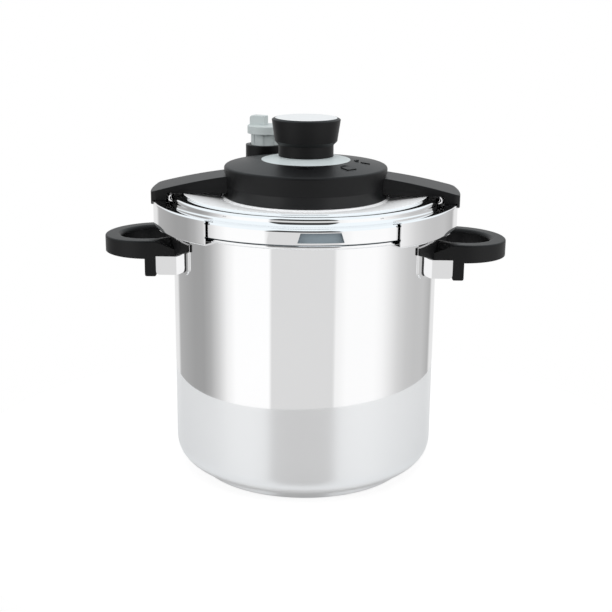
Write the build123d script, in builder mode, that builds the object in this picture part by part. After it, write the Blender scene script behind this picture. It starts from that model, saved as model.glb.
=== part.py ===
from build123d import *
import os
from math import cos, hypot, radians, sin, sqrt

# Stovetop pressure cooker. Two jaws clamp the lid to the pot's rim, and a cam under the knob drives them.
# Millimetres, +Z up, origin at the centre of the underside. The front is -Y, handles and jaws lie along X.

os.makedirs("parts", exist_ok=True)

# Pot
pot_radius = 112.0        # outside of the straight wall
pot_wall = 1.2
pot_height = 220.8        # table to the top of the rim
corner_bend = 19.0        # outside of the bottom corner
rim_reach = 10.3          # how far the rim stands out from the wall
rim_drop = 3.8            # depth of the rim's curled edge
rim_curl = 2.5            # edge turned in under the rim
rim_bend = 1.5
rim_edge_bend = 0.6

# Base: an aluminium core in a steel cap
base_height = 5.9
base_skin = 0.6
base_edge_bend = 1.5

# Handles and their brackets
handle_reach = 59.2       # pot wall to the tip of the loop
handle_drop = 14.0        # top of the root below the pot's rim
handle_droop = 4.0        # fall of the top from root to tip
loop_depth = 15.7         # height of the loop's section
loop_radius = 40.0        # outside of the loop, seen from above
loop_width = 14.0
root_lift = 2.4           # root's underside over the stub, above the loop's underside
root_cover = 0.5          # root block beyond the end of the stub
loop_inner_round = 4.0
loop_outer_round = 1.6
root_bevel_drop = 9.7     # how far the root's front edge falls at the wall
root_bevel_reach = 14.2   # where the bevel meets the top, from the wall
root_bevel_inset = 25.0
wing_angle = 36.0         # half the angle that the root's wings hug
wing_thickness = 1.2
wing_rise = 12.0          # rise of the wing's lower edge towards its end
bracket_sheet = 1.2
bracket_angle = 35.0      # half the angle that the bracket hugs
bracket_depth = 13.3      # height of the steel stub below the root
bracket_reach = 11.0      # stub, from the wall outwards
bracket_rise = 6.0        # rise of the bracket's lower edge towards its end
bracket_corner = 7.0
stub_bend = 3.0
tab_thickness = 9.4       # guards over the end of the stub
tab_inset = 1.0           # guards beside the finger hole
tab_drop = 1.6            # guards below the stub
tab_step = 0.6            # guards behind the root's sides
tab_round = 1.5
handle_screw_radius = 2.5
handle_screw_head = 4.3
handle_screw_head_height = 3.0
handle_screw_length = 14.0

# Lid
seal_gap = 0.3            # lid and gasket above the rim
lid_sheet = 1.2
skirt_overhang = 3.2      # skirt outside the rim
skirt_lift = 0.7          # skirt's edge above the foot of the gasket
skirt_height = 11.8
ledge_width = 12.0
ledge_bend = 1.5
shoulder_height = 6.4     # shoulder above the edge of the ledge
shoulder_width = 8.4
shoulder_bend = 1.5
shoulder_foot_bend = 2.5
bead_height = 1.2         # crest above the shoulder
bead_width = 0.7
bead_bend = 1.5
bead_foot_bend = 0.8
crest_width = 2.0
crest_bend = 5.0
dish_depth = 3.6          # flat middle below the crest
dish_margin = 0.9         # flat middle round the housing
step_drop = 1.6           # from the flat middle down to the bowl round it
step_width = 0.9
step_bend = 1.5
step_foot_bend = 1.0
window_angle = -83.4      # where the window lies round the skirt
window_bottom_width = 35.8
window_top_width = 31.0
window_sill = 1.5         # skirt left below the window
window_lintel = 2.7       # and above it
gasket_fit = 0.2
gasket_setback = 1.4      # gasket behind the skirt
gasket_lip = 2.0
gasket_web = 2.6

# Jaws
jaw_travel = 14.0
jaw_sheet = 1.5
jaw_gap = 6.2             # jaw wall outside the rim
jaw_clearance = 0.4       # lips above the ledge and below the rim
jaw_top_reach = 10.5      # upper lip, inwards from the jaw's outside
jaw_lip_rise = 0.4        # fall of the upper lip towards its edge
jaw_bend = 1.8
jaw_open_gap = 2.2        # between the open jaw's end and the rim
jaw_half_angle = 54.0
jaw_end_round = 0.7

# Slides under the arms
slide_sheet = 2.5
slide_half_width = 11.5
slide_bend = 3.5
slide_foot_bend = 1.0
slide_clearance = 0.3
slide_leg_gap = 0.7       # slide's leg outside the lid's shoulder
foot_gap = 0.25           # slide's foot on the jaw's lip
slide_inner_end = 13.0    # at rest, from the middle
crest_clearance = 0.6     # slide above the lid's crest
rivet_radius = 2.0
rivet_spread = 7.0
rivet_inset = 6.5         # rivets inside the jaw's wall
fit_gap = 0.05            # round pins, rivets and posts that sit in a hole

# Arm covers
arm_overhang = 1.8        # cover outside the jaw
arm_skin_drop = 3.4       # cover's outer skin below the jaw's top
arm_half_width = 21.5     # where the arm leaves the housing
arm_end_half_width = 26.2
arm_rise_inner = 15.9     # top of the arm above the crest: in the housing, half way and at the end
arm_rise_middle = 10.0
arm_rise_end = 1.0
arm_side_rise = 7.0       # lower edge of the sides above the crest, in the housing
arm_core_inset = 0.8      # core inside the sides
keel_gap = 0.8            # core's keel outside the housing
keel_clearance = 0.6      # keel above the lid's bowl, jaws open
arm_corner = 5.0
arm_edge_round = 0.8
arch_rise = 2.2           # lower edge of the sides above the crest, at the leg
arch_radius = 4.5
arm_leg_gap = 1.7         # leg outside the lid's shoulder
cover_relief = 0.5        # cover round the slide's bends
jaw_relief = 0.2          # cover round the jaw
cover_screw_radius = 2.0
cover_screw_head = 3.6
cover_screw_length = 7.5
cover_screw_pitch = 12.0

# Housing
housing_setback = 43.0    # housing inside the pot's wall
pan_inset = 1.2           # base tier inside the cover
pan_flare = 1.1           # base tier's spread towards the lid
pan_floor = 2.0
pan_height = 9.6
housing_wall = 2.4
cover_height = 15.8       # straight side of the cover
cover_draft = 0.8
cover_round = 2.5
dome_rise = 4.8
slot_clearance = 0.6      # round the arms
boss_radius = 4.0
housing_screw_inset = 10.4
housing_screw_radius = 1.6
housing_screw_head = 3.2
housing_screw_head_height = 1.4
housing_screw_length = 12.0
arm_inner_inset = 14.4    # inner end of the arm, inside the housing's wall

# Dial ring, knob and centre post
ring_radius = 37.5
ring_rise = 3.1
ring_step = 2.2           # ring's seat below the dome
ring_top_radius = 24.6
neck_radius = 23.2
neck_height = 9.2
neck_groove = 3.2         # undercut between the neck and the head
head_bottom_radius = 26.3
head_top_radius = 28.9
head_height = 17.9
head_bevel = 1.3
head_bevel_width = 2.4
head_round = 0.8
knob_gap = 0.3
cap_inset = 0.3
cap_rise = 0.2            # cap above the head
cap_thickness = 3.0
cap_round = 0.6
knob_well_radius = 19.5
knob_well_depth = 13.0
cap_spigot = 2.5
hub_radius = 9.5
hub_play = 0.3            # round the hub, in the cover and the ring
tenon_side = 12.8
tenon_fit = 0.1
post_radius = 5.0
post_head_radius = 11.0
post_head = 2.0
washer_radius = 8.0
washer_thickness = 1.5
knob_screw_radius = 2.5
knob_screw_head = 4.5
knob_screw_head_height = 3.0
knob_screw_depth = 14.0
knob_screw_end_gap = 1.0

# Guide plate, nut, cam and follower pins
guide_half_width = 17.0
guide_end_gap = 4.0       # guide plate short of the arm's inner end
nut_flats = 17.0
cam_gap = 0.7             # cam above the slides
cam_sheet = 2.5
cam_turn = 90.0           # degrees that open the jaws
cam_web = 2.8             # cam outside the end of its slots
pin_radius = 3.0
pin_start = 18.0          # pins from the middle, jaws closed
pin_play = 0.15

# Steam valve behind the housing, on the left
valve_angle = 116.8
collar_gap = 0.4
collar_radius = 17.0
collar_wall = 4.2
collar_foot_radius = 8.4
pad_radius = 9.6          # flat pad on the lid, under the collar
collar_foot_height = 5.2
collar_floor = 2.0
collar_height = 29.4      # collar above the lid
stem_radius = 6.0
stem_bore = 2.0
stem_height = 23.0        # stem above the collar's floor
stem_flange_radius = 9.0
stem_flange = 2.0
valve_nut_flats = 18.0
valve_nut_height = 4.5
selector_play = 0.5       # barrel inside the collar
selector_flange_radius = 15.5
selector_flange = 7.1
selector_flange_round = 0.8
selector_exposed = 10.1   # barrel between the collar and its flange
selector_depth = 16.0     # barrel inside the collar
selector_groove = 0.9
selector_groove_depth = 0.5
selector_groove_count = 8
fin_length = 14.8
fin_width = 8.0
fin_height = 8.5
fin_offset = 6.0
fin_turn = -24.0
fin_end_round = 3.0
fin_round = 0.8
chamber_radius = 5.0
poppet_radius = 4.5
poppet_thickness = 2.0
needle_radius = 1.8
needle_length = 5.0
spring_wire = 0.9
spring_pitch = 2.7
seat_gap = 0.3            # sprung pieces above their seats

# Pressure indicator at the front, safety valve at the back of the housing
indicator_gap = 1.8       # indicator outside the cam
indicator_radius = 3.2
indicator_round = 0.8
indicator_below = 5.0     # top of the resting pin below the dome
indicator_rise = 5.0
indicator_stem_radius = 2.4
indicator_stop_radius = 4.5
indicator_stop = 1.5
seal_radius = 5.5
seal_neck_radius = 4.0
seal_lip = 2.5
well_gap = 1.2            # well outside the dial ring
well_half_length = 7.3    # along the ring
well_half_width = 3.9
well_wall = 1.5
well_depth = 15.0
pan_hole_gap = 1.2
safety_gap = 2.5          # safety valve outside the cam
safety_radius = 6.6
safety_stem_radius = 5.0
safety_bore = 4.2
safety_flange_radius = 8.5
safety_nut_flats = 14.5
safety_nut_height = 3.5
safety_height = 20.0      # body above the lid
safety_seat_radius = 2.2
safety_ball_radius = 3.4
safety_floor = 6.0        # seat above the lid
safety_cap = 2.5

# Heights and radii that follow from the sizes above
base_radius = pot_radius - corner_bend
rim_radius = pot_radius + rim_reach
rim_bottom = pot_height - rim_drop
handle_top = pot_height - handle_drop
gasket_bottom = pot_height + seal_gap
skirt_bottom = gasket_bottom + skirt_lift
ledge_top = skirt_bottom + skirt_height
shoulder_top = ledge_top + shoulder_height
crest_top = shoulder_top + bead_height
dish_top = crest_top - dish_depth
dish_bottom = dish_top - lid_sheet
skirt_radius = rim_radius + skirt_overhang
shoulder_radius = skirt_radius - ledge_width
bead_end = shoulder_radius - shoulder_width
crest_end = bead_end - bead_width
crest_start = crest_end - crest_width
housing_radius = pot_radius - housing_setback
dish_radius = housing_radius + dish_margin
bowl_start = dish_radius + step_width
bowl_bottom = dish_top - step_drop
bowl_slope = (crest_top - bowl_bottom) / (crest_start - bowl_start)

jaw_radius = rim_radius + jaw_gap
jaw_inside = jaw_radius - jaw_sheet
jaw_bottom = rim_bottom - jaw_clearance - jaw_sheet
jaw_lip_top = ledge_top + jaw_clearance + jaw_sheet
jaw_top = jaw_lip_top + jaw_lip_rise
jaw_lip_radius = rim_radius + jaw_open_gap - jaw_travel * cos(radians(jaw_half_angle))

slide_bottom = crest_top + crest_clearance
slide_top = slide_bottom + slide_sheet
slide_leg = shoulder_radius + slide_leg_gap + slide_sheet
slide_end = sqrt(jaw_inside**2 - slide_half_width**2) - slide_clearance
guide_top = slide_bottom - slide_clearance
pan_floor_top = dish_top + pan_floor
cam_bottom = slide_top + cam_gap
cam_top = cam_bottom + cam_sheet
nut_top = cam_bottom - slide_clearance
pin_end = pin_start + jaw_travel
cam_radius = pin_end + pin_radius + cam_web
rivet_x = jaw_radius - rivet_inset

pan_radius = housing_radius - pan_inset
pan_top = dish_top + pan_height
cover_edge = pan_top + cover_height
dome_top = cover_edge + dome_rise
ring_seat = dome_top - ring_step
ring_top = dome_top + ring_rise
arm_end = jaw_radius + arm_overhang
arm_inner = housing_radius - arm_inner_inset
guide_end = arm_inner - guide_end_gap
housing_screw_circle = housing_radius - housing_screw_inset

knob_bottom = ring_top + knob_gap
head_bottom = knob_bottom + neck_height
head_top = head_bottom + neck_groove + head_height
knob_top = head_top + head_bevel
post_top = knob_top - knob_well_depth

valve_distance = housing_radius + collar_radius + collar_gap
valve_x = valve_distance * cos(radians(valve_angle))
valve_y = valve_distance * sin(radians(valve_angle))
pad_top = bowl_bottom + (valve_distance + pad_radius - bowl_start) * bowl_slope
pad_bottom = bowl_bottom + (valve_distance - pad_radius - bowl_start) * bowl_slope - lid_sheet
collar_floor_top = pad_top + collar_foot_height + collar_floor
collar_top = pad_top + collar_height
stem_top = collar_floor_top + stem_height
barrel_radius = collar_radius - collar_wall - selector_play
barrel_bottom = collar_top - selector_depth
selector_flange_bottom = collar_top + selector_exposed
selector_flange_top = selector_flange_bottom + selector_flange
chamber_top = selector_flange_top - selector_flange / 2
poppet_bottom = stem_top + seat_gap
poppet_top = poppet_bottom + poppet_thickness

cam_reach = cam_radius + indicator_gap + indicator_radius
ring_reach = ring_radius + well_gap + well_half_width
indicator_distance = max(cam_reach, ring_reach)
safety_distance = cam_radius + safety_gap + safety_radius
seal_top = dish_top + seal_lip
seal_bottom = dish_bottom - seal_lip
indicator_top = dome_top - indicator_below
indicator_bottom = seal_top + seat_gap
indicator_stop_top = seal_bottom - seat_gap - indicator_rise
safety_seat = dish_top + safety_floor
safety_body_top = dish_top + safety_height
ball_centre = safety_seat + seat_gap / 2 + sqrt(safety_ball_radius**2 - safety_seat_radius**2)
pan_hole_radius = safety_flange_radius + pan_hole_gap


def upright_plane(angle):
    """Upright plane through the middle axis; its local x points outwards at an angle from +X."""
    turn = radians(angle)
    return Plane(origin=(0, 0, 0), x_dir=(cos(turn), sin(turn), 0), z_dir=(sin(turn), -cos(turn), 0))


def sheet_section(points, bends, thickness, side, plane=Plane.XZ):
    """Section of a bent sheet: one face follows the points, the other lies to one side of it."""
    with BuildSketch(plane) as section:
        with BuildLine():
            FilletPolyline(*points, radius=bends)
            offset(amount=thickness, side=side)
        make_face()
    return section.sketch


def lip_height(reach):
    """Top of the jaw's sloping upper lip at a distance from the middle."""
    return jaw_top - (jaw_radius - reach) * jaw_lip_rise / jaw_top_reach


def foot_height(reach):
    """Top of the slide's foot, which lies along the lip."""
    return lip_height(reach) + foot_gap + slide_sheet * hypot(1, jaw_lip_rise / jaw_top_reach)


def finish(block, name):
    """Label a finished sub-part and write it."""
    block.part.label = name
    export_step(block.part, f"parts/{name}.step")


def spring_between(low, high, radius, centre):
    """Compression spring of round wire, standing between two heights."""
    coil_height = high - low - 2 * seat_gap - spring_wire
    with BuildPart() as coil:
        with BuildLine():
            path = Helix(
                pitch=spring_pitch,
                height=coil_height,
                radius=radius,
                center=(centre[0], centre[1], low + seat_gap + spring_wire / 2),
            )
        with BuildSketch(Plane(origin=path @ 0, z_dir=path % 0)):
            Circle(spring_wire / 2)
        sweep(path=path)
    return coil


def finish_pair(block, name):
    """Write a right-hand sub-part and its mirror image on the left."""
    finish(block, f"right_{name}")
    with BuildPart() as twin:
        mirror(block.part, about=Plane.YZ)
    finish(twin, f"left_{name}")


# Pot body: one drawn sheet from the middle of the bottom to the rim's curled edge
pot_line = [
    (0, base_height),
    (pot_radius, base_height),
    (pot_radius, pot_height - pot_wall),
    (rim_radius - pot_wall, pot_height - pot_wall),
    (rim_radius - pot_wall, rim_bottom + pot_wall),
    (rim_radius - pot_wall - rim_curl, rim_bottom + pot_wall),
]
pot_bends = [corner_bend, rim_bend, rim_edge_bend, rim_edge_bend]
with BuildPart() as pot_body:
    pot_section = sheet_section(pot_line, pot_bends, pot_wall, Side.LEFT)
    revolve(pot_section, axis=Axis.Z)
finish(pot_body, "pot_body")

# Base cap: a shallow steel cup, and the core that fills it
cap_line = [(0, 0), (base_radius, 0), (base_radius, base_height)]
with BuildPart() as base_cap:
    revolve(sheet_section(cap_line, [base_edge_bend], base_skin, Side.LEFT), axis=Axis.Z)
finish(base_cap, "base_cap")

with BuildPart() as base_core:
    with BuildSketch(Plane.XY.offset(base_skin)):
        Circle(base_radius - base_skin)
    extrude(amount=base_height - base_skin)
    fillet(base_core.edges().group_by(Axis.Z)[0], radius=base_edge_bend - base_skin)
finish(base_core, "base_core")

# Handle bracket: a sheet that hugs the wall, with a hollow stub for the handle
root_bottom = handle_top - loop_depth - handle_droop / 2
stub_top = root_bottom + root_lift
bracket_bottom = root_bottom - bracket_depth
stub_end = pot_radius + bracket_reach
wing_half_width = pot_radius * sin(radians(wing_angle))
bracket_half_width = pot_radius * sin(radians(bracket_angle))
tip = pot_radius + handle_reach
loop_centre = tip - loop_radius
finger_radius = loop_radius - loop_width
root_half_width = loop_radius - fit_gap
root_end = stub_end + root_cover
tab_inside = finger_radius + tab_inset
handle_screw_spread = (tab_inside + root_half_width) / 2
handle_screw_height = bracket_bottom + bracket_depth / 2
handle_screw_spots = [(side * handle_screw_spread, handle_screw_height) for side in (-1, 1)]
tab_start = stub_end + fit_gap
tab_end = tab_start + tab_thickness

with BuildPart() as right_bracket:
    with BuildSketch(upright_plane(-bracket_angle)):
        with Locations((pot_radius + fit_gap, bracket_bottom)):
            Rectangle(bracket_sheet, handle_top - bracket_bottom, align=Align.MIN)
    revolve(axis=Axis.Z, revolution_arc=2 * bracket_angle)
    with BuildSketch(Plane.YZ) as bracket_outline:
        with BuildLine():
            Polyline(
                (-bracket_half_width, handle_top),
                (-bracket_half_width, bracket_bottom + bracket_rise),
                (-root_half_width, bracket_bottom),
                (root_half_width, bracket_bottom),
                (bracket_half_width, bracket_bottom + bracket_rise),
                (bracket_half_width, handle_top),
                close=True,
            )
        make_face()
        low_corners = bracket_outline.vertices().group_by(Axis.Y)[1]
        fillet(low_corners, radius=bracket_corner)
    extrude(amount=pot_radius + handle_reach, mode=Mode.INTERSECT)
    with BuildSketch(Plane.XZ):
        with BuildLine():
            FilletPolyline(
                (pot_radius / 2, bracket_bottom),
                (stub_end, bracket_bottom),
                (stub_end, stub_top - fit_gap),
                radius=stub_bend,
            )
            Polyline(
                (stub_end, stub_top - fit_gap),
                (pot_radius / 2, stub_top - fit_gap),
                (pot_radius / 2, bracket_bottom),
            )
        make_face()
    extrude(amount=root_half_width, both=True)
    with BuildSketch(Plane.XY.offset(bracket_bottom + bracket_sheet)):
        with Locations((stub_end - bracket_sheet, 0)):
            Rectangle(pot_radius, 2 * (root_half_width - bracket_sheet), align=(Align.MAX, Align.CENTER))
    extrude(amount=stub_top - bracket_bottom, mode=Mode.SUBTRACT)
    with BuildSketch():
        Circle(pot_radius + fit_gap)
    extrude(amount=pot_height, mode=Mode.SUBTRACT)
    with BuildSketch(Plane.YZ):
        with Locations(*handle_screw_spots):
            Circle(handle_screw_radius + fit_gap)
    extrude(amount=tip, mode=Mode.SUBTRACT)
finish_pair(right_bracket, "handle_bracket")

# Handle: a loop with a root block on the stub, wings along the wall and two guards over the stub's end
wing_inside = pot_radius + bracket_sheet + 2 * fit_gap

with BuildPart() as tabs:
    with BuildSketch(Plane.XZ):
        with BuildLine():
            FilletPolyline(
                (tab_start, stub_top),
                (tab_start, bracket_bottom - tab_drop),
                (tab_end, bracket_bottom - tab_drop),
                (tab_end, stub_top),
                radius=tab_round,
            )
            Line((tab_end, stub_top), (tab_start, stub_top))
        make_face()
    extrude(amount=root_half_width - tab_step, both=True)
    with BuildSketch(Plane.XZ):
        with Locations((tab_start, root_bottom)):
            Rectangle(tab_thickness, 3 * bracket_depth, align=(Align.MIN, Align.CENTER))
    extrude(amount=tab_inside, both=True, mode=Mode.SUBTRACT)

with BuildPart() as right_handle:
    with BuildSketch(Plane.XY.offset(root_bottom)):
        with Locations((loop_centre, 0)):
            Circle(loop_radius)
        with Locations((pot_radius / 2, 0)):
            Rectangle(loop_centre - pot_radius / 2, 2 * root_half_width, align=(Align.MIN, Align.CENTER))
        with Locations((loop_centre, 0)):
            Circle(finger_radius, mode=Mode.SUBTRACT)
        with Locations((root_end, 0)):
            Rectangle(
                loop_centre - root_end,
                2 * finger_radius,
                align=(Align.MIN, Align.CENTER),
                mode=Mode.SUBTRACT,
            )
    extrude(amount=handle_top - root_bottom)
    with BuildSketch(Plane.XZ):
        with BuildLine():
            Polyline(
                (pot_radius / 2, root_bottom),
                (tip, root_bottom),
                (tip, handle_top - handle_droop),
                (pot_radius / 2, handle_top),
                close=True,
            )
        make_face()
    extrude(amount=loop_radius, both=True, mode=Mode.INTERSECT)
    top_face = right_handle.faces().sort_by(Axis.Z)[-1]
    fillet(top_face.outer_wire().edges().filter_by(lambda edge: edge.center().X > pot_radius),
           radius=loop_outer_round)
    top_face = right_handle.faces().sort_by(Axis.Z)[-1]
    fillet(top_face.inner_wires()[0].edges(), radius=loop_inner_round)
    for side in (-1, 1):
        bevel_low = Vector(pot_radius * cos(radians(wing_angle / 2)), side * root_half_width,
                           handle_top - root_bevel_drop)
        bevel_high = Vector(
            pot_radius + root_bevel_reach, side * root_half_width, handle_top - handle_droop / 2
        )
        bevel_inner = Vector(bevel_low.X, side * (root_half_width - root_bevel_inset), handle_top)
        bevel_normal = (bevel_inner - bevel_low).cross(bevel_high - bevel_low) * side
        split(bisect_by=Plane(origin=bevel_low, z_dir=bevel_normal), keep=Keep.BOTTOM)
    with BuildSketch(Plane.XY.offset(root_bottom)):
        with Locations((stub_end + root_cover / 2, 0)):
            Rectangle(pot_radius, 3 * loop_radius, align=(Align.MAX, Align.CENTER))
    extrude(amount=root_lift, mode=Mode.SUBTRACT)
    add(tabs.part)
    with BuildSketch():
        Circle(wing_inside)
    extrude(amount=pot_height, mode=Mode.SUBTRACT)
    with BuildSketch(Plane.YZ.offset(tab_end)):
        with Locations(*handle_screw_spots):
            Circle(handle_screw_head + fit_gap)
    extrude(amount=-handle_screw_head_height, mode=Mode.SUBTRACT)
    with BuildSketch(Plane.YZ.offset(tab_end)):
        with Locations(*handle_screw_spots):
            Circle(handle_screw_radius + fit_gap)
    extrude(amount=-2 * tab_thickness, mode=Mode.SUBTRACT)

with BuildPart() as wings:
    with BuildSketch(upright_plane(-wing_angle)):
        with Locations((wing_inside, root_bottom)):
            Rectangle(wing_thickness, handle_top - root_bottom, align=Align.MIN)
    revolve(axis=Axis.Z, revolution_arc=2 * wing_angle)
    with BuildSketch(Plane.YZ):
        for side in (-1, 1):
            with BuildLine():
                Polyline(
                    (side * (root_half_width - root_bevel_inset), stub_top),
                    (side * root_half_width, stub_top),
                    (side * wing_half_width, root_bottom + wing_rise),
                    (side * wing_half_width, handle_top),
                    (side * (root_half_width - root_bevel_inset), handle_top),
                    close=True,
                )
            make_face()
    extrude(amount=pot_radius + handle_reach, mode=Mode.INTERSECT)

with BuildPart() as right_handle_whole:
    add(right_handle.part)
    add(wings.part)
finish_pair(right_handle_whole, "handle")

# Handle screws, one through each guard into the stub's end
with BuildPart() as handle_screws:
    for side in (-1, 1):
        for spread in (-handle_screw_spread, handle_screw_spread):
            head_plane = Plane(
                origin=(side * (tab_end - handle_screw_head_height), spread, handle_screw_height),
                z_dir=(side, 0, 0),
            )
            with BuildSketch(head_plane):
                Circle(handle_screw_head)
            extrude(amount=handle_screw_head_height)
            with BuildSketch(head_plane):
                Circle(handle_screw_radius)
            extrude(amount=-handle_screw_length)
finish(handle_screws, "handle_screws")

# Lid shell: a pressed sheet with a flat middle in a bowl, a crest, a shoulder, a ledge
# and a skirt with one window
lid_line = [
    (0, dish_top),
    (dish_radius, dish_top),
    (bowl_start, bowl_bottom),
    (crest_start, crest_top),
    (crest_end, crest_top),
    (bead_end, shoulder_top),
    (shoulder_radius, shoulder_top),
    (shoulder_radius, ledge_top),
    (skirt_radius, ledge_top),
    (skirt_radius, skirt_bottom),
]
lid_bends = [
    step_bend,
    step_foot_bend,
    crest_bend,
    bead_bend,
    bead_foot_bend,
    shoulder_bend,
    shoulder_foot_bend,
    ledge_bend,
]
indicator_spot = (0, -indicator_distance)
safety_spot = (0, safety_distance)
valve_spot = (valve_x, valve_y)
window_plane = Plane(
    origin=(0, 0, skirt_bottom + window_sill),
    x_dir=(-sin(radians(window_angle)), cos(radians(window_angle)), 0),
    z_dir=(cos(radians(window_angle)), sin(radians(window_angle)), 0),
)
window_height = skirt_height - window_sill - window_lintel

with BuildPart() as lid_shell:
    revolve(sheet_section(lid_line, lid_bends, lid_sheet, Side.RIGHT), axis=Axis.Z)
    with BuildSketch(window_plane):
        with BuildLine():
            Polyline(
                (-window_bottom_width / 2, 0),
                (window_bottom_width / 2, 0),
                (window_top_width / 2, window_height),
                (-window_top_width / 2, window_height),
                close=True,
            )
        make_face()
    extrude(amount=2 * skirt_radius, mode=Mode.SUBTRACT)
    with BuildSketch(Plane.XY.offset(dish_bottom)):
        Circle(post_radius + fit_gap)
        with Locations(indicator_spot):
            Circle(seal_neck_radius + fit_gap)
        with Locations(safety_spot):
            Circle(safety_stem_radius + fit_gap)
    extrude(amount=lid_sheet, mode=Mode.SUBTRACT)
    with BuildSketch(Plane.XY.offset(pad_bottom)):
        with Locations(valve_spot):
            Circle(pad_radius)
    extrude(amount=pad_top - pad_bottom)
    with BuildSketch(Plane.XY.offset(pad_bottom)):
        with Locations(valve_spot):
            Circle(stem_radius + fit_gap)
    extrude(amount=pad_top - pad_bottom, mode=Mode.SUBTRACT)
finish(lid_shell, "lid_shell")

# Gasket: a ring of C section, open inwards, that fills the channel behind the skirt
gasket_outside = skirt_radius - lid_sheet - gasket_setback
gasket_inside = shoulder_radius + lid_sheet
gasket_top = ledge_top - lid_sheet - gasket_fit
with BuildPart() as gasket:
    with BuildSketch(Plane.XZ):
        with Locations((gasket_inside, gasket_bottom)):
            Rectangle(gasket_outside - gasket_inside, gasket_top - gasket_bottom, align=Align.MIN)
        with Locations((gasket_inside, gasket_bottom + gasket_lip)):
            Rectangle(
                gasket_outside - gasket_inside - gasket_web,
                gasket_top - gasket_bottom - 2 * gasket_lip,
                align=Align.MIN,
                mode=Mode.SUBTRACT,
            )
    revolve(axis=Axis.Z)
    fillet(gasket.edges().group_by(Axis.Z)[-1].sort_by(SortBy.LENGTH)[-1], radius=gasket_lip / 2)
finish(gasket, "gasket")

# Centre post: a headed stud through the lid that the knob turns on
with BuildPart() as centre_post:
    with BuildSketch(Plane.XY.offset(dish_bottom - post_head)):
        Circle(post_head_radius)
    extrude(amount=post_head)
    with BuildSketch(Plane.XY.offset(dish_bottom)):
        Circle(post_radius)
    extrude(amount=post_top - dish_bottom)
    with BuildSketch(Plane.XY.offset(post_top)):
        Circle(knob_screw_radius + fit_gap)
    extrude(amount=-knob_screw_depth - knob_screw_end_gap, mode=Mode.SUBTRACT)
finish(centre_post, "centre_post")

# Housing base: a shallow pan on the lid, with a gate in its wall for each arm
gate_half_width = arm_half_width + slot_clearance
gate_bottom = slide_bottom - slot_clearance
screw_spots = PolarLocations(housing_screw_circle, 4, start_angle=45).locations
with BuildPart() as housing_base:
    with BuildSketch(Plane.XZ):
        with BuildLine():
            Polyline(
                (0, dish_top),
                (pan_radius + pan_flare, dish_top),
                (pan_radius, pan_top),
                (pan_radius - housing_wall, pan_top),
                (pan_radius - housing_wall, pan_floor_top),
                (0, pan_floor_top),
                close=True,
            )
        make_face()
    revolve(axis=Axis.Z)
    with BuildSketch(Plane.XY.offset(gate_bottom)):
        Rectangle(3 * housing_radius, 2 * gate_half_width)
    extrude(amount=pan_height, mode=Mode.SUBTRACT)
    with BuildSketch(Plane.XY.offset(dish_top)):
        Circle(post_radius + fit_gap)
        with Locations(indicator_spot, safety_spot):
            Circle(pan_hole_radius)
        with Locations(*screw_spots):
            Circle(housing_screw_radius + fit_gap)
    extrude(amount=pan_height, mode=Mode.SUBTRACT)
    with BuildSketch(Plane.XY.offset(dish_top)):
        with Locations(*screw_spots):
            Circle(housing_screw_head + fit_gap)
    extrude(amount=housing_screw_head_height, mode=Mode.SUBTRACT)
finish(housing_base, "housing_base")

# Housing cover: a conical shell with screw bosses, the arms' gates, the indicator's well and the ring's seat
hub_hole = hub_radius + hub_play
gate_top = crest_top + arm_rise_inner + slot_clearance
well_bottom = dome_top - well_depth
with BuildPart() as cover_room:
    with BuildSketch(Plane.XZ):
        with BuildLine():
            Polyline(
                (0, pan_top),
                (housing_radius - cover_draft - housing_wall, pan_top),
                (housing_radius - housing_wall, cover_edge - housing_wall),
                (ring_radius + housing_wall, ring_seat - housing_wall),
                (0, ring_seat - housing_wall),
                close=True,
            )
        make_face()
    revolve(axis=Axis.Z)
    with BuildSketch(Plane.XY.offset(well_bottom)):
        with Locations(indicator_spot):
            Ellipse(well_half_length + well_wall, well_half_width + well_wall)
    extrude(amount=well_depth, mode=Mode.SUBTRACT)

with BuildPart() as housing_cover:
    with BuildSketch(Plane.XZ):
        with BuildLine():
            FilletPolyline(
                (0, pan_top),
                (housing_radius - cover_draft, pan_top),
                (housing_radius, cover_edge),
                (ring_radius + fit_gap, dome_top),
                (ring_radius + fit_gap, ring_seat),
                (0, ring_seat),
                radius=[0, cover_round, 0, 0],
            )
            Line((0, ring_seat), (0, pan_top))
        make_face()
    revolve(axis=Axis.Z)
    add(cover_room.part, mode=Mode.SUBTRACT)
    with BuildSketch(Plane.XY.offset(pan_floor_top)):
        with Locations(*screw_spots):
            Circle(boss_radius)
    extrude(amount=cover_edge - pan_floor_top)
    with BuildSketch(Plane.XY.offset(well_bottom)):
        with Locations(indicator_spot):
            Ellipse(well_half_length, well_half_width)
    extrude(amount=2 * well_depth, mode=Mode.SUBTRACT)
    with BuildSketch(Plane.XY.offset(pan_floor_top)):
        Circle(hub_hole)
    extrude(amount=dome_top - pan_floor_top, mode=Mode.SUBTRACT)
    with BuildSketch(Plane.XY.offset(pan_top)):
        Rectangle(3 * housing_radius, 2 * gate_half_width)
    extrude(amount=gate_top - pan_top, mode=Mode.SUBTRACT)
    with BuildSketch(Plane.XY.offset(pan_floor_top)):
        with Locations(*screw_spots):
            Circle(housing_screw_radius + fit_gap)
    extrude(amount=housing_screw_length, mode=Mode.SUBTRACT)
finish(housing_cover, "housing_cover")

with BuildPart() as housing_screws:
    with BuildSketch(Plane.XY.offset(dish_top + fit_gap)):
        with Locations(*screw_spots):
            Circle(housing_screw_head)
    extrude(amount=housing_screw_head_height - fit_gap)
    with BuildSketch(Plane.XY.offset(dish_top + housing_screw_head_height)):
        with Locations(*screw_spots):
            Circle(housing_screw_radius)
    extrude(amount=housing_screw_length - housing_screw_head_height)
finish(housing_screws, "housing_screws")

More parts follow.
